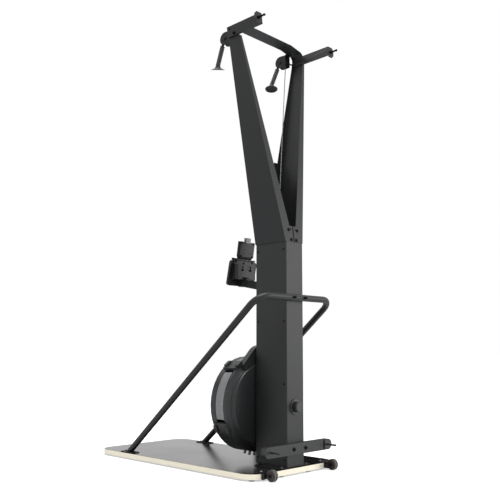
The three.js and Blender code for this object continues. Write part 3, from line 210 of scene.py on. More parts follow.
def finish_of(name, colour, lighter, roughness, relief, level=0.5, metallic=0.0, grain=1.5):
    """A coated, moulded or plated surface: a fine grain in it, and a soft change of its shade.

    The grain is in millimetres. Real orange peel and mould texture is finer, and is drawn coarse
    enough to show.
    """
    made, tree, surface = material(name)
    where = add(tree, "ShaderNodeTexCoord").outputs["Object"]
    peel = add(
        tree, "ShaderNodeTexNoise",
        Vector=where, Scale=1000 / grain, Detail=3.0, Roughness=0.55,
    )
    cloud = add(
        tree, "ShaderNodeTexNoise",
        Vector=where, Scale=clouds_per_metre, Detail=4.0, Roughness=0.6,
    )
    tone = add(
        tree, "ShaderNodeMix", {"data_type": "RGBA"},
        _0=cloud.outputs["Fac"], _6=linear(colour), _7=linear(lighter),
    )
    sheen = add(
        tree, "ShaderNodeMapRange",
        Value=peel.outputs["Fac"], From_Min=0.3, From_Max=0.7,
        To_Min=roughness - sheen_swing, To_Max=roughness + sheen_swing,
    )
    bump = add(tree, "ShaderNodeBump", Strength=relief, Distance=0.0002, Height=peel.outputs["Fac"])
    shader = add(
        tree, "ShaderNodeBsdfPrincipled",
        Base_Color=tone.outputs[2], Roughness=sheen.outputs[0], Normal=bump.outputs[0],
        Metallic=metallic, Specular_IOR_Level=level,
    )
    tree.links.new(shader.outputs[0], surface)
    return made


def piece(name, mesh, finish, body, crease=32):
    """A mesh as a piece of the machine: smooth up to a crease angle, on its CAD body."""
    mesh.materials.clear()
    mesh.materials.append(finish)
    mesh.polygons.foreach_set("use_smooth", [True] * len(mesh.polygons))
    mesh.set_sharp_from_angle(angle=math.radians(crease))
    made = bpy.data.objects.new(name, mesh)
    bpy.context.scene.collection.objects.link(made)
    if body:
        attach(made, body)
    return made


def carved(bm, cutter):
    """A merged mesh with the closed shapes of a second mesh cut out of it. Both are used up."""
    shapes = []
    for part in (bm, cutter):
        mesh = bpy.data.meshes.new("part")
        part.to_mesh(mesh)
        part.free()
        shapes.append(bpy.data.objects.new("part", mesh))
        bpy.context.scene.collection.objects.link(shapes[-1])
    saw = shapes[0].modifiers.new("saw", "BOOLEAN")
    saw.operation = "DIFFERENCE"
    saw.solver = "EXACT"
    saw.object = shapes[1]
    saw.use_self = True
    drawn = shapes[0].evaluated_get(bpy.context.evaluated_depsgraph_get())
    left = bmesh.new()
    left.from_mesh(drawn.data)
    for shape in shapes:
        bpy.data.objects.remove(shape)
    return left


def softened(node, finish, edge, crease=32, cutter=None):
    """A CAD node's own shape with rounded edges, as folding, coating and moulding leave them."""
    source = frame["nodes"][node]
    bm = bmesh.new()
    bm.from_mesh(source.data)
    bmesh.ops.remove_doubles(bm, verts=bm.verts, dist=0.00002)
    if cutter:
        bm = carved(bm, cutter)
    flat = math.radians(0.5)
    bmesh.ops.dissolve_limit(bm, angle_limit=flat, verts=bm.verts, edges=bm.edges)
    mesh = bpy.data.meshes.new(node + "_soft")
    bm.to_mesh(mesh)
    bm.free()
    made = piece(node + "_soft", mesh, finish, source["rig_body"], crease=crease)
    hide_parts(node)
    round_over = made.modifiers.new("edges", "BEVEL")
    round_over.width = edge / 1000
    round_over.segments = 2
    round_over.limit_method = "ANGLE"
    round_over.angle_limit = math.radians(40)
    round_over.harden_normals = True
    return made


def dress(finish, *names):
    """Gives CAD nodes their finish as they are."""
    for name in names:
        mesh = frame["nodes"][name].data
        mesh.materials.clear()
        mesh.materials.append(finish)


def pair(*stems):
    """The names of the right and the left node of each stem."""
    return [stem + side for stem in stems for side in ("_right", "_left")]


# Powder coat on the tall parts: black and half matt, so that the sheet picks up a soft grey sheen.
black_coat = finish_of(
    "black_powder_coat", "#111213", "#191a1b",
    roughness=0.46, relief=0.3, level=0.42,
)
# The same coat, painted deeper on brackets and plates out of the light as painted shade, and more
# matt.
shade_painted_coat = finish_of(
    "dark_powder_coat", "#0a0b0c", "#111213",
    roughness=0.55, relief=0.3, level=0.3,
)
for node in ("column_spine", "column_front_panel", *pair("column_side_panel")):
    softened(node, black_coat, edge=0.8)
softened("column_base_plate", shade_painted_coat, edge=0.8)
softened("mast_bracket", shade_painted_coat, edge=0.5)

# A button head bolt: a domed head with a round drive recess over a washer. The tree puts one on
# each place of its host mesh, turned to the way that the face there looks.
bolt_tree = bpy.data.node_groups.new("bolt_heads", "GeometryNodeTree")


def sockets_of(tree, floats):
    """A tree's sockets: its host, its sizes, its finish and what it makes."""
    tree.interface.new_socket("Places", in_out="INPUT", socket_type="NodeSocketGeometry")
    for label in floats:
        tree.interface.new_socket(label, in_out="INPUT", socket_type="NodeSocketFloat")
    tree.interface.new_socket("Finish", in_out="INPUT", socket_type="NodeSocketMaterial")
    tree.interface.new_socket("Made", in_out="OUTPUT", socket_type="NodeSocketGeometry")
    return add(tree, "NodeGroupInput").outputs


def finished(tree, shape, finish):
    """Ends a tree: what it made is realized and gets its finish."""
    real = add(tree, "GeometryNodeRealizeInstances", Geometry=shape)
    painted = add(tree, "GeometryNodeSetMaterial", Geometry=real.outputs[0], Material=finish)
    add(tree, "NodeGroupOutput", Made=painted.outputs[0])


bolt_sizes = ("Head Radius", "Head Height", "Recess Share", "Washer Radius", "Washer Height")
given = sockets_of(bolt_tree, bolt_sizes)
head_sides = 18
washer = add(
    bolt_tree, "GeometryNodeMeshCylinder",
    Vertices=head_sides, Radius=given["Washer Radius"], Depth=given["Washer Height"],
)
head = add(
    bolt_tree, "GeometryNodeMeshCylinder",
    Vertices=head_sides, Radius=given["Head Radius"], Depth=given["Head Height"],
)
grown, top = head.outputs["Mesh"], head.outputs["Top"]
# Each step pushes the top face out by a share of the height and draws it in: two for the dome, one
# for the recess's rim and one for its floor.
for rise, narrow in ((0.3, 0.88), (0.2, 0.78), (0, given["Recess Share"]), (-0.6, 0.9)):
    push = add(
        bolt_tree, "ShaderNodeMath", {"operation": "MULTIPLY"},
        _0=given["Head Height"], _1=rise,
    )
    step = add(
        bolt_tree, "GeometryNodeExtrudeMesh",
        Mesh=grown, Selection=top, Offset_Scale=push.outputs[0],
    )
    drawn = add(
        bolt_tree, "GeometryNodeScaleElements",
        Geometry=step.outputs["Mesh"], Selection=step.outputs["Top"], Scale=narrow,
    )
    grown, top = drawn.outputs[0], step.outputs["Top"]
raise_by = add(bolt_tree, "ShaderNodeCombineXYZ", Z=given["Washer Height"])
raised = add(bolt_tree, "GeometryNodeTransform", Geometry=grown, Translation=raise_by.outputs[0])
whole = add(bolt_tree, "GeometryNodeJoinGeometry", Geometry=washer.outputs["Mesh"])
bolt_tree.links.new(raised.outputs[0], whole.inputs[0])
facing = add(
    bolt_tree, "GeometryNodeInputNamedAttribute", {"data_type": "FLOAT_VECTOR"}, Name="facing",
)
turned = add(
    bolt_tree, "FunctionNodeAlignRotationToVector", {"axis": "Z"},
    Vector=facing.outputs["Attribute"],
)
spread = add(
    bolt_tree, "GeometryNodeInstanceOnPoints",
    Points=given["Places"], Instance=whole.outputs[0], Rotation=turned.outputs[0],
)
finished(bolt_tree, spread.outputs[0], given["Finish"])


def from_tree(name, tree, host, finish, body, **values):
    """What a node tree makes of a host mesh, as a plain piece on one body."""
    maker = bpy.data.objects.new(name + "_host", host)
    bpy.context.scene.collection.objects.link(maker)
    step = maker.modifiers.new("made", "NODES")
    step.node_group = tree
    named = {item.name.replace(" ", "_"): item.identifier for item in tree.interface.items_tree}
    for label, value in {**values, "Finish": finish}.items():
        step[named[label]] = value
    drawn = maker.evaluated_get(bpy.context.evaluated_depsgraph_get())
    mesh = bpy.data.meshes.new_from_object(drawn)
    maker.modifiers.remove(step)
    bpy.data.objects.remove(maker)
    return piece(name, mesh, finish, body)


washer_height, recess_share = 1.2, 0.6


def bolts(name, finish, places, radius, height, washer=0.0, body="frame"):
    """Bolt heads in millimetres, with a washer's radius where one shows.

    Each place is a point and the way that its face looks. A head stands half its height over it.
    Where no washer shows, one just inside the head closes it.
    """
    host = bpy.data.meshes.new(name + "_places")
    host.from_pydata([spot(*point) for point, _ in places], [], [])
    ways = host.attributes.new("facing", "FLOAT_VECTOR", "POINT")
    for item, (_, way) in zip(ways.data, places):
        item.vector = way
    return from_tree(
        name, bolt_tree, host, finish, body,
        Head_Radius=radius / 1000, Head_Height=height / 2 / 1000, Recess_Share=recess_share,
        Washer_Radius=max(washer, radius * 0.98) / 1000, Washer_Height=washer_height / 1000,
    )


def mirrored(places):
    """Places on the right side, with the same ones on the left."""
    return places + [((-p[0], p[1], p[2]), (-w[0], w[1], w[2])) for p, w in places]


# Blackened steel of the screws: oiled oxide takes most of the light, so each head is a dark dot
# with a faint glint. The same near black paints the shade along the edges of the fan's windows.
black_screw_and_shade = finish_of(
    "blackened_steel", "#020202", "#040404",
    roughness=0.42, relief=0.1, level=0.12,
)
side_screws = [((60, y, z), (1, 0, 0)) for y in (-186, -17) for z in (35, 383, 679, 1026)]
bolts("column_side_screws", black_screw_and_shade, mirrored(side_screws), radius=4.2, height=3.0)
# Dull zinc on the rear floor bolts of the base plate: a grey glint clear of the dark plate.
dull_zinc = finish_of(
    "dull_zinc", "#4b4d4f", "#5b5d5f",
    roughness=0.4, relief=0.1, level=0.4, metallic=0.85,
)
bolts(
    "base_plate_bolts", dull_zinc, mirrored([((86, -11, 4.3), (0, 0, 1))]),
    radius=5.4, height=9.0, washer=6.2,
)
bolts(
    "base_plate_front_bolts", black_screw_and_shade, mirrored([((86, -150, 6), (0, 0, 1))]),
    radius=6.5, height=12.0, washer=9.5,
)

# Arms of the mast
# Two tall channels of 3 mm folded sheet that lean apart, open towards the middle. Tabs at their
# feet are bolted over the column's rear face, and a notched plate joins them in front.
for node in (*pair("arm"), "arm_gusset"):
    softened(node, black_coat, edge=0.8)
arm_rear_lean, lean_from, tab_stand = 0.1285, 1063, 0.8


def on_tab(x, z):
    """A place on the tabs' rear face, which leans forwards, and the way that the face looks."""
    return (x, tab_stand - arm_rear_lean * (z - lean_from), z), (0, 1, arm_rear_lean)


tab_bolts = [on_tab(32, 1124), on_tab(18, 1075)]
bolts("arm_tab_bolts", black_screw_and_shade, mirrored(tab_bolts), radius=7.4, height=5.6, washer=9.4)
bolts("arm_tab_small_bolts", black_screw_and_shade, mirrored([on_tab(18, 1127)]), radius=3.2, height=2.6)
gusset_front = -208.5
gusset_places = ((38, 1110), (52, 1240), (76, 1370), (100, 1500))
gusset_bolts = [((x, gusset_front, z), (0, -1, 0)) for x, z in gusset_places]
bolts("gusset_bolts", black_screw_and_shade, mirrored(gusset_bolts), radius=4.6, height=3.4, washer=6.4)

# Cross member and top brackets
# A 5 mm strip, bent down at both ends, joins the arms at the top. A flat folded box on each arm
# ends in an ear with a peg that elastic bands are hung on.
for node in ("crossbar", *pair("top_bracket")):
    softened(node, black_coat, edge=0.8)
for node in pair("band_peg"):
    softened(node, black_screw_and_shade, edge=0.4)
bracket_bolts = [((265.8, y, z), (1, 0, -0.18)) for y, z in ((-187, 2136), (-160, 2108))]
bolts("top_bracket_bolts", black_screw_and_shade, mirrored(bracket_bolts), radius=6.6, height=5.0, washer=8.6)

# Pulley blocks
# Folded steel cheeks under the cross member hold a moulded grooved pulley on a bolt, and a short
# bar ties them to the arm.
for node in pair("pulley_block", "pulley_axle"):
    softened(node, shade_painted_coat, edge=0.5)
# Glass filled nylon of the pulleys and drums: black, smooth in the groove, with a dull glint.
nylon = finish_of("black_nylon", "#0b0b0c", "#131314", roughness=0.36, relief=0.15)
dress(nylon, *pair("top_pulley", "cord_drum"))

# Handles
# Each is one moulding with a spiral grip and a flared foot, on a knot of its cord. The foot stands
# slightly askew, as the hanging handles do.
cord_x, axle_y, axle_z, cord_turn = 212, -264, 2124, 28
handle_drop = 17
handle_place = Vector((cord_x, axle_y - cord_turn, axle_z - handle_drop))
grip_radius, grip_top, grip_end, foot_end = 12, -13, -112, -134
groove_depth, groove_starts, groove_spacing, groove_power = 1.5, 2, 13, 1.5
fade_top, fade_end = 6, 8
grip_sides, ring_step = 40, 1.5


def lathe(rings, sides, place):
    """A closed skin over rings of (radius, height), each point put in place by a function."""
    bm = bmesh.new()
    loops = []
    for radius, height in rings:
        if radius == 0:
            loops.append([bm.verts.new(place(0, 0, height))])
            continue
        turns = [2 * math.pi * i / sides for i in range(sides)]
        loops.append([bm.verts.new(place(radius, angle, height)) for angle in turns])
    for low, high in zip(loops, loops[1:]):
        for i in range(sides):
            j = (i + 1) % sides
            around = ((low, i), (low, j), (high, j), (high, i))
            corners = [ring[k % len(ring)] for ring, k in around]
            corners = list(dict.fromkeys(corners))
            if len(corners) > 2:
                bm.faces.new(corners)
    bmesh.ops.recalc_face_normals(bm, faces=bm.faces)
    mesh = bpy.data.meshes.new("turned")
    bm.to_mesh(mesh)
    bm.free()
    return mesh


# Radius and height of each ring: a collar for the knot, the grip, and the foot with its hollow.
grip_rings = [(0, 0), (6, 0), (7, -1), (7, -9), (8, -11), (11, -12.2), (grip_radius, grip_top)]
grip_steps = int((grip_top - grip_end) / ring_step)
grip_rings += [(grip_radius, grip_top - ring_step * i) for i in range(1, grip_steps)]
foot_rings = [
    (grip_radius, grip_end), (12.6, -116), (14, -120), (17, -124), (21, -127), (27, -129.4),
    (33.4, -130.8), (34.7, -131.8), (35, -133), (34.6, foot_end), (32.5, foot_end),
]
hollow_rings = [(31.5, -133), (26, -131), (16, -129.2), (0, -129)]


def about(axis, degrees):
    """A turn about one axis."""
    return Matrix.Rotation(math.radians(degrees), 3, axis)


def handle_mesh(sign, lean, tilt, foot_tilt, foot_turn):
    """A handle hung at its lean and tilt. The grooves fade out at both ends of the grip."""
    stand = about("X", -tilt) @ about("Y", -lean)
    askew = about("Z", foot_turn) @ about("X", foot_tilt)
    middle = Vector((0, 0, grip_end))

    def place(radius, angle, height):
        """A point of the turned form, grooved on the grip, askew on the foot, and hung."""
        if grip_end < height < grip_top:
            fade = min(1, (grip_top - height) / fade_top, (height - grip_end) / fade_end)
            wave = math.sin(groove_starts * angle + 2 * math.pi * height / groove_spacing)
            radius -= groove_depth * fade * max(0, wave) ** groove_power
        at = Vector((radius * math.cos(angle), radius * math.sin(angle), height))
        if height <= grip_end:
            at = middle + askew @ (at - middle)
        hung = stand @ at + Vector((sign * handle_place.x, handle_place.y, handle_place.z))
        return spot(*hung)

    return lathe(grip_rings + foot_rings + hollow_rings, grip_sides, place)


# Soft moulded rubber of the grips: dull black, with a broad faint sheen on the turns of the spiral.
grip_rubber = finish_of(
    "black_grip_rubber", "#262728", "#303132",
    roughness=0.5, relief=0.3, level=0.45,
)
hangs = {
    "right": {"sign": 1, "lean": 0, "tilt": 20, "foot_tilt": 16, "foot_turn": 79},
    "left": {"sign": -1, "lean": 12, "tilt": 16, "foot_tilt": 24, "foot_turn": 3},
}
for side, way in hangs.items():
    hung = handle_mesh(**way)
    handle = piece("handle_grip_" + side, hung, grip_rubber, "handle_" + side, crease=40)
    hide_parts("handle_" + side)
    # Painted shade: the hollow under the foot gets the darker coat, in black.
    handle.data.materials.append(shade_painted_coat)
    shaded_hollow_faces = len(hollow_rings) * grip_sides
    for face in list(handle.data.polygons)[-shaded_hollow_faces:]:
        face.material_index = 1

# Cords
# 4.4 mm braided polyester, pale grey. Each runs from its handle over the top pulley and down
# between the arms into the column, where its drum winds it up.
cord_radius = 2.2
cord_sides = 10


def tube_mesh(points, step, radius=cord_radius, sides=cord_sides):
    """A tube along points in millimetres, with rings about a step apart and both ends closed.

    Its UV map holds the turn round the tube, then the length along it in millimetres.
    """
    line = [Vector(points[0])]
    for end in points[1:]:
        start, end = line[-1], Vector(end)
        parts = max(1, round((end - start).length / step))
        line += [start.lerp(end, i / parts) for i in range(1, parts + 1)]
    bm = bmesh.new()
    uv = bm.loops.layers.uv.new("along")
    across, run, loops, runs = Vector((0, 1, 0)), 0.0, [], []
    for i, at in enumerate(line):
        way = (line[min(i + 1, len(line) - 1)] - line[max(i - 1, 0)]).normalized()
        across = (across - way * across.dot(way)).normalized()
        other = way.cross(across)
        run += (at - line[i - 1]).length if i else 0.0
        runs.append(run)
        turns = [2 * math.pi * k / sides for k in range(sides)]
        ring = [at + radius * (across * math.cos(t) + other * math.sin(t)) for t in turns]
        loops.append([bm.verts.new(spot(*p)) for p in ring])
    for i in range(len(loops) - 1):
        for k in range(sides):
            n = (k + 1) % sides
            face = bm.faces.new((loops[i][k], loops[i][n], loops[i + 1][n], loops[i + 1][k]))
            places = ((k, i), (k + 1, i), (k + 1, i + 1), (k, i + 1))
            for loop, (turn_at, ring_at) in zip(face.loops, places):
                loop[uv].uv = (turn_at / sides, runs[ring_at])
    bm.faces.new(list(reversed(loops[0])))
    bm.faces.new(loops[-1])
    mesh = bpy.data.meshes.new("tube")
    bm.to_mesh(mesh)
    bm.free()
    return mesh


# Braided polyester: matt and pale grey, with a fine diamond grain where its strands cross. It is
# drawn with 5 mm turns, where a real one has about 3 mm, so that it shows.
braid_turn, braid_strands = 5.0, 4
braid, tree, surface = material("braided_polyester")
on_cord = add(tree, "ShaderNodeUVMap", {"uv_map": "along"})
along = add(tree, "ShaderNodeSeparateXYZ", Vector=on_cord.outputs[0])
around = add(
    tree, "ShaderNodeMath", {"operation": "MULTIPLY"},
    _0=along.outputs["X"], _1=2 * math.pi * braid_strands,
)
forth = add(
    tree, "ShaderNodeMath", {"operation": "MULTIPLY"},
    _0=along.outputs["Y"], _1=2 * math.pi / braid_turn,
)
strands = []
for way in ("ADD", "SUBTRACT"):
    slant = add(
        tree, "ShaderNodeMath", {"operation": way},
        _0=forth.outputs[0], _1=around.outputs[0],
    )
    strand = add(tree, "ShaderNodeMath", {"operation": "SINE"}, _0=slant.outputs[0])
    strands.append(strand.outputs[0])
yarn = add(tree, "ShaderNodeMath", {"operation": "MAXIMUM"}, _0=strands[0], _1=strands[1])
level = add(tree, "ShaderNodeMapRange", Value=yarn.outputs[0], From_Min=-0.4, From_Max=1.0)
shade = add(
    tree, "ShaderNodeMix", {"data_type": "RGBA"},
    _0=level.outputs[0], _6=linear("#565757"), _7=linear("#8e8f8f"),
)
bump = add(tree, "ShaderNodeBump", Strength=0.7, Distance=0.0004, Height=level.outputs[0])
cloth = add(
    tree, "ShaderNodeBsdfPrincipled",
    Base_Color=shade.outputs[2], Roughness=0.75, Normal=bump.outputs[0], Sheen_Weight=0.3,
)
tree.links.new(cloth.outputs[0], surface)

# The cords pass the mast bracket near the column's middle, and meet the drums on their right side.
guide_x, guide_y, guide_z = 20, -128, 1061.5
drum_path, drum_z, wrap_steps = 24.5, 278, 24
wrap = [math.pi * (1 - i / wrap_steps) for i in range(wrap_steps + 1)]
over_pulley = [(axle_y + cord_turn * math.cos(t), axle_z + cord_turn * math.sin(t)) for t in wrap]
lead_gap, knot_gap = 0.3, 1.2
for side, sign, drum_y in (("left", -1, -153), ("right", 1, -109)):
    route = [(sign * cord_x, y, z) for y, z in over_pulley]
    route += [(sign * guide_x, guide_y, guide_z), (drum_path, drum_y, drum_z)]
    drive = piece("braided_cord_" + side, tube_mesh(route, step=30), braid, "frame", crease=80)
    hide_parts("drive_cord_" + side)
    low, high = handle_place.z + knot_gap, axle_z - lead_gap
    lead_route = [(sign * cord_x, handle_place.y, z) for z in (high, low)]
    lead = piece("braided_lead_" + side, tube_mesh(lead_route, step=0.25), braid, None, crease=80)
    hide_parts("cord_lead_" + side)
    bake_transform(lead)

# Fan
# A dished steel cover with intake slots, a band of perforated sheet that the air leaves by, and a
# stepped rear shell with a hood. Low clamps hold the three together.

# Semi matt enamel on the drum: a shade lighter than the column, and smoother.
drum_enamel = finish_of(
    "black_drum_enamel", "#1c1d1e", "#242526",
    roughness=0.42, relief=0.15, level=0.5,
)
for node in ("fan_front_cover", "fan_rear_housing"):
    softened(node, drum_enamel, edge=0.8, crease=40)
fan_z, fan_radius, band_front, band_rear = 278, 231, -307.7, -251.3
sheet, rail = 2.5, 1.2
# Angles in degrees from the right side, upwards.
windows = ((-20, 46), (62, 118), (134, 200))
window_margin = 3.4
clamp_angles = (54.6, 125.4, -27.6, 207.6)
clamp_width, clamp_radius = 58, 238.4
clamp_screw_radius, clamp_screw_rows = 239, (-240, -320)


def on_band(radius, angle, y):
    """A place at a radius and an angle about the fan's axis."""
    turned_by = math.radians(angle)
    return spot(radius * math.cos(turned_by), y, fan_z + radius * math.sin(turned_by))


def skin(bm, rings):
    """Joins a row of like rings of points with faces and closes both ends."""
    bm.faces.new(rings[0])
    bm.faces.new(rings[-1])
    for near, far in zip(rings, rings[1:]):
        for k in range(len(near)):
            n = (k + 1) % len(near)
            bm.faces.new((near[k], near[n], far[n], far[k]))


def arc_slab(bm, inner, outer, front, rear, start, stop):
    """A closed curved slab of the band, in steps of about 2 degrees."""
    parts = max(1, round((stop - start) / 2))
    rings = []
    for i in range(parts + 1):
        angle = start + (stop - start) * i / parts
        corners = ((inner, front), (outer, front), (outer, rear), (inner, rear))
        rings.append([bm.verts.new(on_band(r, angle, y)) for r, y in corners])
    skin(bm, rings)


def built(name, bm, finish, body="frame", crease=32):
    """A mesh built face by face as a piece, with its faces turned outwards."""
    bmesh.ops.recalc_face_normals(bm, faces=bm.faces)
    mesh = bpy.data.meshes.new(name)
    bm.to_mesh(mesh)
    bm.free()
    return piece(name, mesh, finish, body, crease=crease)


inner_radius = fan_radius - sheet
# Painted shade: near black rails at both edges of each window stand for the shade of its recess.
bm = bmesh.new()
for start, stop in windows:
    arc_slab(bm, inner_radius, fan_radius, band_front, band_front + rail, start, stop)
    arc_slab(bm, inner_radius, fan_radius, band_rear - rail, band_rear, start, stop)
built("fan_band_rails", bm, black_screw_and_shade)
bm = bmesh.new()
next_starts = [start for start, _ in windows[1:]] + [windows[0][0] + 360]
for (_, stop), after in zip(windows, next_starts):
    arc_slab(bm, inner_radius, fan_radius, band_front, band_rear, stop, after)
half_clamp = math.degrees(clamp_width / 2 / fan_radius)
for angle in clamp_angles:
    start, stop = angle - half_clamp, angle + half_clamp
    arc_slab(bm, fan_radius, clamp_radius, band_front, band_rear, start, stop)
band = built("fan_band", bm, drum_enamel)
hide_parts("fan_cage")
# A rolled bead on the rear shell's step, in a ring that closes under the fan.
bead_radius, bead_y, bead_tube, bead_parts = 203, -221, 5, 120
bead_turns = [math.radians(360 * i / bead_parts - 90) for i in range(bead_parts + 1)]
bead_line = [
    (bead_radius * math.cos(t), bead_y, fan_z + bead_radius * math.sin(t)) for t in bead_turns
]
bead = tube_mesh(bead_line, step=30, radius=bead_tube, sides=12)
piece("fan_rear_bead", bead, drum_enamel, "frame", crease=60)

# The perforated sheet: a grid bent round the fan's axis, each cell with its hole, drawn at a 3 mm
# pitch, where real sheet has about 2 mm, and given its thickness.
mesh_tree = bpy.data.node_groups.new("perforated_sheet", "GeometryNodeTree")
sheet_sizes = ("Radius", "From Angle", "To Angle", "Width", "Pitch", "Hole Share", "Thickness")
given = sockets_of(mesh_tree, sheet_sizes)
sweep = add(
    mesh_tree, "ShaderNodeMath", {"operation": "SUBTRACT"},
    _0=given["To Angle"], _1=given["From Angle"],
)
length = add(
    mesh_tree, "ShaderNodeMath", {"operation": "MULTIPLY"},
    _0=sweep.outputs[0], _1=given["Radius"],
)
counts = []
for size in (length.outputs[0], given["Width"]):
    cells = add(mesh_tree, "ShaderNodeMath", {"operation": "DIVIDE"}, _0=size, _1=given["Pitch"])
    whole_cells = add(mesh_tree, "ShaderNodeMath", {"operation": "CEIL"}, _0=cells.outputs[0])
    counts.append(whole_cells.outputs[0])
grid = add(
    mesh_tree, "GeometryNodeMeshGrid",
    Size_X=sweep.outputs[0], Size_Y=given["Width"], Vertices_X=counts[0], Vertices_Y=counts[1],
)
holed = add(
    mesh_tree, "GeometryNodeExtrudeMesh",
    Mesh=grid.outputs["Mesh"], Offset_Scale=0.0, Individual=True,
)
drawn_in = add(
    mesh_tree, "GeometryNodeScaleElements",
    Geometry=holed.outputs["Mesh"], Selection=holed.outputs["Top"], Scale=given["Hole Share"],
)
opened = add(
    mesh_tree, "GeometryNodeDeleteGeometry", {"domain": "FACE"},
    Geometry=drawn_in.outputs[0], Selection=holed.outputs["Top"],
)
thick = add(
    mesh_tree, "GeometryNodeExtrudeMesh",
    Mesh=opened.outputs[0], Offset_Scale=given["Thickness"], Individual=False,
)
backs = add(mesh_tree, "GeometryNodeFlipFaces", Mesh=opened.outputs[0])
solid = add(mesh_tree, "GeometryNodeJoinGeometry", Geometry=thick.outputs["Mesh"])
mesh_tree.links.new(backs.outputs[0], solid.inputs[0])
# The flat grid's X is the angle round the axis, and its Z is the height over the radius.
position = add(mesh_tree, "GeometryNodeInputPosition")
flat = add(mesh_tree, "ShaderNodeSeparateXYZ", Vector=position.outputs[0])
half = add(mesh_tree, "ShaderNodeMath", {"operation": "MULTIPLY"}, _0=sweep.outputs[0], _1=0.5)
angle = flat.outputs["X"]
for more in (half.outputs[0], given["From Angle"]):
    angle = add(mesh_tree, "ShaderNodeMath", {"operation": "ADD"}, _0=angle, _1=more).outputs[0]
out = add(
    mesh_tree, "ShaderNodeMath", {"operation": "ADD"},
    _0=flat.outputs["Z"], _1=given["Radius"],
)
across = []
for turn_kind in ("COSINE", "SINE"):
    share = add(mesh_tree, "ShaderNodeMath", {"operation": turn_kind}, _0=angle)
    across.append(add(
        mesh_tree, "ShaderNodeMath", {"operation": "MULTIPLY"},
        _0=share.outputs[0], _1=out.outputs[0],
    ).outputs[0])
bent = add(mesh_tree, "ShaderNodeCombineXYZ", X=across[0], Y=flat.outputs["Y"], Z=across[1])
rolled = add(
    mesh_tree, "GeometryNodeSetPosition",
    Geometry=solid.outputs[0], Position=bent.outputs[0],
)
placed = add(
    mesh_tree, "GeometryNodeInstanceOnPoints",
    Points=given["Places"], Instance=rolled.outputs[0],
)
finished(mesh_tree, placed.outputs[0], given["Finish"])

# Perforated sheet under a thin grey coat: paler than the drum round it, and darkened by its holes.
grille_coat = finish_of(
    "grey_coated_grille", "#8c8d8e", "#9a9b9c",
    roughness=0.5, relief=0.1, level=0.4,
)
centre = spot(0, (band_front + band_rear) / 2, fan_z)
grille_radius, grille_width = inner_radius + 0.2, band_rear - band_front - 1
hole_pitch, hole_share, grille_thickness = 3.0, 0.55, 1.2
for name, (start, stop) in zip(("right", "top", "left"), windows):
    host = bpy.data.meshes.new("grille_place")
    host.from_pydata([centre], [], [])
    from_tree(
        "fan_grille_" + name, mesh_tree, host, grille_coat, "frame",
        Radius=grille_radius / 1000, Width=grille_width / 1000,
        From_Angle=math.radians(start + window_margin), To_Angle=math.radians(stop - window_margin),
        Pitch=hole_pitch / 1000, Hole_Share=hole_share, Thickness=grille_thickness / 1000,
    )
clamp_bolts = []
for angle in clamp_angles:
    way = Vector((math.cos(math.radians(angle)), 0, math.sin(math.radians(angle))))
    for y in clamp_screw_rows:
        at = (way.x * clamp_screw_radius, y, fan_z + way.z * clamp_screw_radius)
        clamp_bolts.append((at, way))
bolts("fan_clamp_bolts", black_screw_and_shade, clamp_bolts, radius=4.4, height=3.2, washer=6.0)

# Flywheel, shaft and spring
# A turned steel disc with a heavy rim and welded blades, on a shaft through two bearings. They show
# only through the intake and the perforated band.

# Turned steel: a satin metal with a dull glint behind the slots.
wheel_steel = finish_of(
    "turned_steel", "#7b7d80", "#94969a",
    roughness=0.36, relief=0.15, level=0.5, metallic=1.0,
)
dress(wheel_steel, "flywheel", "flywheel_shaft", "bearing_front", "bearing_rear")
dress(nylon, "return_spring_case")

# Resistance knob
# A fluted moulded knob on a round dial plate, screwed to the column's rear face. Tick marks show
# how far it is turned.
knob_z = 276


def prism(bm, outline, front, rear):
    """A closed prism along Y over an outline of (x, z)."""
    skin(bm, [[bm.verts.new(spot(x, y, z)) for x, z in outline] for y in (front, rear)])


# Moulded ABS: black with a fine even grain and a soft sheen along the flutes.
moulded = finish_of(
    "moulded_abs", "#151617", "#1d1e1f",
    roughness=0.42, relief=0.3, level=0.5,
)
softened("knob_dial", moulded, edge=0.6, crease=40)
softened("resistance_knob", moulded, edge=0.6, crease=30)
tick_inner, tick_outer, tick_width = 29.5, 34.5, 1.5
tick_count, tick_from, tick_turn = 11, 225, 27
dial_face, tick_face = 3.9, 4.5
bm = bmesh.new()
for i in range(tick_count):
    angle = math.radians(tick_from - tick_turn * i)
    out = Vector((math.cos(angle), math.sin(angle)))
    side = Vector((-out.y, out.x)) * tick_width / 2
    near, far = out * tick_inner, out * tick_outer
    outline = [(c.x, knob_z + c.y) for c in (near - side, far - side, far + side, near + side)]
    prism(bm, outline, dial_face, tick_face)
# Pad printed marks of the dial: flat light grey.
print_grey = finish_of(
    "printed_grey", "#8c8c8c", "#969696",
    roughness=0.6, relief=0.05, level=0.3,
)
built("dial_ticks", bm, print_grey)

# Bottom bar
# A folded channel across the column's foot, bolted to its rear face. Two turned studs near its ends
# hold elastic bands.
bar_face = 28

# The column's coat, painted a little lighter on the bottom bar: painted light, where the lamps
# fall off low down.
lit_bar_coat = finish_of(
    "pressed_powder_coat", "#191a1b", "#212223",
    roughness=0.46, relief=0.3, level=0.45,
)
softened("bottom_bar", lit_bar_coat, edge=0.8)
bolts(
    "bottom_bar_bolts", black_screw_and_shade, mirrored([((41.6, bar_face, 87), (0, 1, 0))]),
    radius=8.2, height=10.0, washer=9.8,
)

# A thin matt black strip across the bar near its left end: a darker stripe with no sheen.
bar_stripe_finish = finish_of(
    "black_vinyl", "#020202", "#050505",
    roughness=0.7, relief=0.2, level=0.15,
)
low, high, inner, outer, stripe_stand = 63.8, 112.2, -173, -186, 0.4
bm = bmesh.new()
outline = [(outer, low), (outer, high), (inner, high), (inner, low)]
prism(bm, outline, bar_face - stripe_stand, bar_face + stripe_stand)
built("bar_band", bm, bar_stripe_finish)

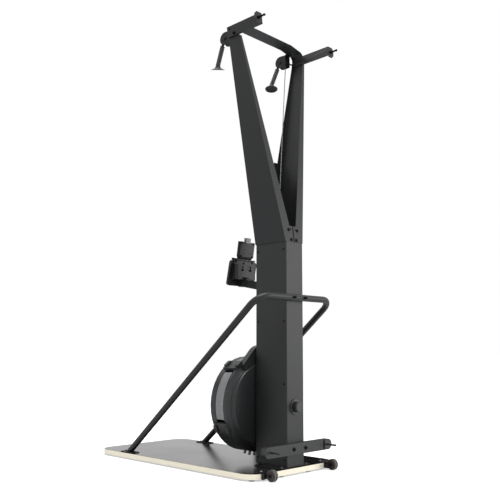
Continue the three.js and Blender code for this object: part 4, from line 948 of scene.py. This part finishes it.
# Brace
# One 32 mm steel tube, bent up from both sides of the board to the column's rear, where two cap
# screws hold it. It is welded to two foot plates.
brace_radius, brace_bend, brace_height = 16, 72, 792
leg_x, leg_length, foot_top, column_gap = 268, 1240, 4.4, 0.3
corner = Vector((leg_x, brace_radius + column_gap, brace_height))
below_foot = Vector((leg_x, -984, -38))
leg = (corner - below_foot).normalized()
outward = Vector((1, 0, 0))
bend_centre = corner - brace_bend * (leg + outward)
bend_parts = 12
bend_turns = [math.radians(90 * i / bend_parts) for i in range(bend_parts + 1)]
bend = [bend_centre + brace_bend * (math.cos(t) * outward + math.sin(t) * leg) for t in bend_turns]
brace_line = [corner - leg_length * leg, *bend]
brace_line += [Vector((-p.x, p.y, p.z)) for p in reversed(brace_line)]
bm = bmesh.new()
bm.from_mesh(tube_mesh(brace_line, step=200, radius=brace_radius, sides=32))
# Both legs are cut off level on their foot plates.
everything = [*bm.verts, *bm.edges, *bm.faces]
bmesh.ops.bisect_plane(
    bm, geom=everything, plane_co=spot(0, 0, foot_top), plane_no=(0, 0, 1), clear_inner=True,
)
bmesh.ops.holes_fill(bm, edges=[edge for edge in bm.edges if edge.is_boundary])
brace = built("brace", bm, black_coat, crease=40)
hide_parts("brace_tube")
for node in pair("brace_foot"):
    softened(node, shade_painted_coat, edge=0.6)
bolts(
    "brace_bolts", black_screw_and_shade, mirrored([((40, 36, brace_height), (0, 1, 0))]),
    radius=6.6, height=18.0,
)
foot_bolts = [((leg_x, y, 4.3), (0, 0, 1)) for y in (-966, -892)]
bolts("brace_foot_bolts", black_screw_and_shade, mirrored(foot_bolts), radius=6.0, height=5.0, washer=8.0)

# Board and its feet
# 26 mm birch plywood, with a glossy dark laminate pressed on its top and bottom and a bare sawn
# edge. Six rubber feet are screwed under it.

# Pressed laminate: near black and glossy, so it mirrors the machine, with softly rubbed patches.
rubbed_per_metre, laminate_grain = 3.0, 2.0
top_gloss, tree, surface = material("glossy_laminate")
where = add(tree, "ShaderNodeTexCoord").outputs["Object"]
wear = add(
    tree, "ShaderNodeTexNoise",
    Vector=where, Scale=rubbed_per_metre, Detail=3.0, Roughness=0.5,
)
grain = add(
    tree, "ShaderNodeTexNoise",
    Vector=where, Scale=1000 / laminate_grain, Detail=2.0, Roughness=0.5,
)
rubbed = add(
    tree, "ShaderNodeMapRange",
    Value=wear.outputs["Fac"], From_Min=0.3, From_Max=0.7, To_Min=0.17, To_Max=0.22,
)
tone = add(
    tree, "ShaderNodeMix", {"data_type": "RGBA"},
    _0=wear.outputs["Fac"], _6=linear("#161718"), _7=linear("#1f2021"),
)
bump = add(tree, "ShaderNodeBump", Strength=0.05, Distance=0.0001, Height=grain.outputs["Fac"])
shader = add(
    tree, "ShaderNodeBsdfPrincipled",
    Base_Color=tone.outputs[2], Roughness=rubbed.outputs[0], Normal=bump.outputs[0],
    Specular_IOR_Level=0.35,
)
tree.links.new(shader.outputs[0], surface)

# Sawn birch ply: 13 plies of 2 mm, every second one end grain and so darker, and fibres along them.
ply = 0.002
fibres_along, fibres_across = 60, 900
edge_wood, tree, surface = material("birch_ply_edge")
where = add(tree, "ShaderNodeTexCoord").outputs["Object"]
parts = add(tree, "ShaderNodeSeparateXYZ", Vector=where)
ply_turn = add(
    tree, "ShaderNodeMath", {"operation": "MULTIPLY"},
    _0=parts.outputs["Z"], _1=math.pi / ply,
)
wave = add(tree, "ShaderNodeMath", {"operation": "SINE"}, _0=ply_turn.outputs[0])
layer = add(tree, "ShaderNodeMapRange", Value=wave.outputs[0], From_Min=-0.4, From_Max=0.4)
fibres = (fibres_along, fibres_along, fibres_across)
stretched = add(tree, "ShaderNodeMapping", Vector=where, Scale=fibres)
fibre = add(
    tree, "ShaderNodeTexNoise",
    Vector=stretched.outputs[0], Scale=1.0, Detail=5.0, Roughness=0.6,
)
layers = add(
    tree, "ShaderNodeMix", {"data_type": "RGBA"},
    _0=layer.outputs[0], _6=linear("#fdf0d2"), _7=linear("#fffdf2"),
)
wood = add(
    tree, "ShaderNodeMix", {"data_type": "RGBA", "blend_type": "MULTIPLY"},
    _0=fibre.outputs["Fac"], _6=layers.outputs[2], _7=linear("#fffefa"),
)
bump = add(tree, "ShaderNodeBump", Strength=0.3, Distance=0.0003, Height=fibre.outputs["Fac"])
shader = add(
    tree, "ShaderNodeBsdfPrincipled",
    Base_Color=wood.outputs[2], Roughness=0.6, Normal=bump.outputs[0],
)
tree.links.new(shader.outputs[0], surface)

board = softened("platform_board", top_gloss, edge=0.8, crease=30)
board.data.materials.append(edge_wood)
for face in board.data.polygons:
    face.material_index = 0 if abs(face.normal.z) > 0.5 else 1
board.modifiers["edges"].material = 0
# Moulded light rubber of the feet: matt and pale, so that they hardly show on the floor.
rubber = finish_of(
    "light_grey_rubber", "#b4b4b1", "#c2c2bf",
    roughness=0.7, relief=0.4, level=0.3,
)
for node in pair("foot_pad_rear", "foot_pad_corner", "foot_pad_front"):
    softened(node, rubber, edge=0.5, crease=40)

# Transport wheels
# Each is a small moulded wheel on a bolt through a folded bracket behind the board. They touch the
# floor only when the machine is tipped.
for node in pair("wheel_bracket"):
    softened(node, shade_painted_coat, edge=0.5)
for node in pair("wheel_axle"):
    softened(node, black_screw_and_shade, edge=0.5, crease=40)
# Grey brown moulded rubber of the sides: dark, dull and a little warm.
tyre = finish_of(
    "grey_brown_rubber", "#2e2a26", "#37322d",
    roughness=0.6, relief=0.35, level=0.35,
)
# The tread: greyer and lighter than the moulded sides.
lighter_tread = finish_of(
    "ground_rubber_tread", "#525150", "#5e5d5b",
    roughness=0.6, relief=0.35, level=0.4,
)
for node in pair("transport_wheel"):
    wheel = softened(node, tyre, edge=0.7, crease=40)
    wheel.data.materials.append(lighter_tread)
    for face in wheel.data.polygons:
        face.material_index = 1 if abs(face.normal.x) < 0.5 else 0
# Bright zinc on the bracket's bolts: light grey beside the dark sheet.
zinc = finish_of(
    "bright_zinc", "#8f9193", "#a9abad",
    roughness=0.34, relief=0.1, level=0.5, metallic=0.85,
)
bolts(
    "wheel_bracket_bolts", zinc, mirrored([((210, -22, 2.9), (0, 0, 1))]),
    radius=5.0, height=6.0, washer=6.8,
)

# Monitor
# An ABS bezel with a boxed back, tilting on a folded arm. A device holder with a sliding clip is
# screwed on top.
softened("monitor_arm", shade_painted_coat, edge=0.5)
pivot_y, pivot_z = -320, 880
# The console's ABS is the knob's, with a deeper black and a finer mould texture.
console_abs = finish_of(
    "console_abs", "#0e0f0f", "#141516",
    roughness=0.45, relief=0.25, level=0.4, grain=1.0,
)


def pill(x, z, width, height, steps=6):
    """A rectangle with round ends, about its middle."""
    radius = min(width, height) / 2
    centres = ((1, 1, 0), (-1, 1, 90), (-1, -1, 180), (1, -1, 270))
    points = []
    for sx, sz, start in centres:
        for i in range(steps + 1):
            angle = math.radians(start + 90 * i / steps)
            points.append((
                x + sx * (width / 2 - radius) + radius * math.cos(angle),
                z + sz * (height / 2 - radius) + radius * math.sin(angle),
            ))
    return list(dict.fromkeys(points))


# The back has two keyholes for a wall bracket and a slot for the batteries' lid.
openings = bmesh.new()
bulge_rear, opening_depth = pivot_y - 6, 14
keyhole_neck, keyhole_mouth, battery_slot = (7.5, 19), (20, 9), (52, 7)
outlines = [pill(8, 909, *battery_slot)]
for x in (-28, 28):
    outlines += [pill(x, 962, *keyhole_neck), pill(x + 3, 949, *keyhole_mouth)]
for outline in outlines:
    prism(openings, outline, bulge_rear - opening_depth, bulge_rear + 5)
bmesh.ops.recalc_face_normals(openings, faces=openings.faces)
monitor_back = softened("monitor_body", console_abs, edge=0.8, cutter=openings)
# Painted shade: matt black inside the openings, where no light reaches the moulding.
painted_shade_black = finish_of(
    "matt_black_abs", "#040404", "#080808",
    roughness=0.6, relief=0.25, level=0.2,
)
monitor_back.data.materials.append(painted_shade_black)
shade_box_low = spot(-45, bulge_rear - opening_depth - 1, 900)
shade_box_high = spot(45, bulge_rear - 0.3, 975)
for face in monitor_back.data.polygons:
    if all(low < at < high for low, at, high in zip(shade_box_low, face.center, shade_box_high)):
        face.material_index = 1
holder = softened("device_holder", console_abs, edge=0.6)
# Painted shade on the holder's sides: they get the matt black, darker than its back.
holder.data.materials.append(painted_shade_black)
for face in holder.data.polygons:
    face.material_index = 1 if abs(face.normal.x) > 0.8 else 0
holder_lean = math.radians(9)
holder_rear = (0, math.cos(holder_lean), -math.sin(holder_lean))
holder_foot_y, holder_foot_z = -330, 1006


def on_holder(x, up):
    """A place on the holder's rear face, measured up its lean from the plate's foot."""
    y = holder_foot_y + up * math.sin(holder_lean)
    return x, y, holder_foot_z + up * math.cos(holder_lean)


# The clip is moulded from unpainted grey ABS: paler than what it slides in.
clip_grey = finish_of(
    "light_grey_abs", "#9c9c9c", "#a9a9a9",
    roughness=0.45, relief=0.25, level=0.4,
)
clip_half, clip_top = 16.5, 112
# How far each part lies behind the holder's rear face, from and to, and how far up it starts: a
# blade in its slot, a lap outside it, and a short cap over both.
clip_parts = ((-14, -8, 39), (0.3, 3.3, 86), (-17, 3.3, 107))
bm = bmesh.new()
for inner, outer, low in clip_parts:
    rings = []
    for x in (-clip_half, clip_half):
        ring = []
        for out, up in ((inner, low), (outer, low), (outer, clip_top), (inner, clip_top)):
            at = Vector(on_holder(x, up)) + out * Vector(holder_rear)
            ring.append(bm.verts.new(spot(*at)))
        rings.append(ring)
    skin(bm, rings)
clip = built("phone_clip", bm, clip_grey, "holder_clip")
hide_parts("holder_clip")
edges = clip.modifiers.new("edges", "BEVEL")
edges.width = 0.0008
edges.segments = 2
edges.harden_normals = True
# The display's window: near black and smooth, with a sharper reflection than the case round it.
lcd = finish_of(
    "screen_glass", "#0b0e0e", "#101414",
    roughness=0.14, relief=0.02, level=0.5,
)
dress(lcd, "monitor_screen")
holder_screws = mirrored([(on_holder(42, 85), holder_rear), (on_holder(42, 16), holder_rear)])
bolts("holder_screws", black_screw_and_shade, holder_screws, radius=5.2, height=4.0, body="monitor")
holder_dots = mirrored([(on_holder(24, 31), holder_rear)])
bolts("holder_dots", black_screw_and_shade, holder_dots, radius=2.2, height=1.6, body="monitor")
band_screws = [((x, -340, z), (0, 1, 0)) for x, z in ((66, 992), (8, 986), (-54, 994))]
bolts("monitor_band_screws", black_screw_and_shade, band_screws, radius=5.0, height=4.0, body="monitor")

# Key pad
# A printed film over domed switches, under the display. It gives by less than a millimetre, so its
# five keys are fixed.
face_setback, face_height = 27, 128
face_lean = math.atan2(face_setback, face_height)
face_foot = Vector((0, pivot_y - 63, pivot_z - 8))
up_face = Vector((0, math.sin(face_lean), math.cos(face_lean)))
out_of_face = Vector((0, -math.cos(face_lean), math.sin(face_lean)))
key_width, key_height, key_row = 20, 12, 17
bm = bmesh.new()
for x in (-52, -26, 0, 26, 52):
    rings = []
    # A key's dome, as how much it grows and how far it stands out.
    for grow, out in ((0, -0.4), (0, 0.5), (-1.2, 1.0), (-4, 1.3)):
        ring = []
        for across, up in pill(x, key_row, key_width + grow, key_height + grow):
            at = face_foot + Vector((across, 0, 0)) + up * up_face + out * out_of_face
            ring.append(bm.verts.new(spot(*at)))
        rings.append(ring)
    skin(bm, rings)
built("membrane_keys", bm, print_grey, "monitor", crease=25)
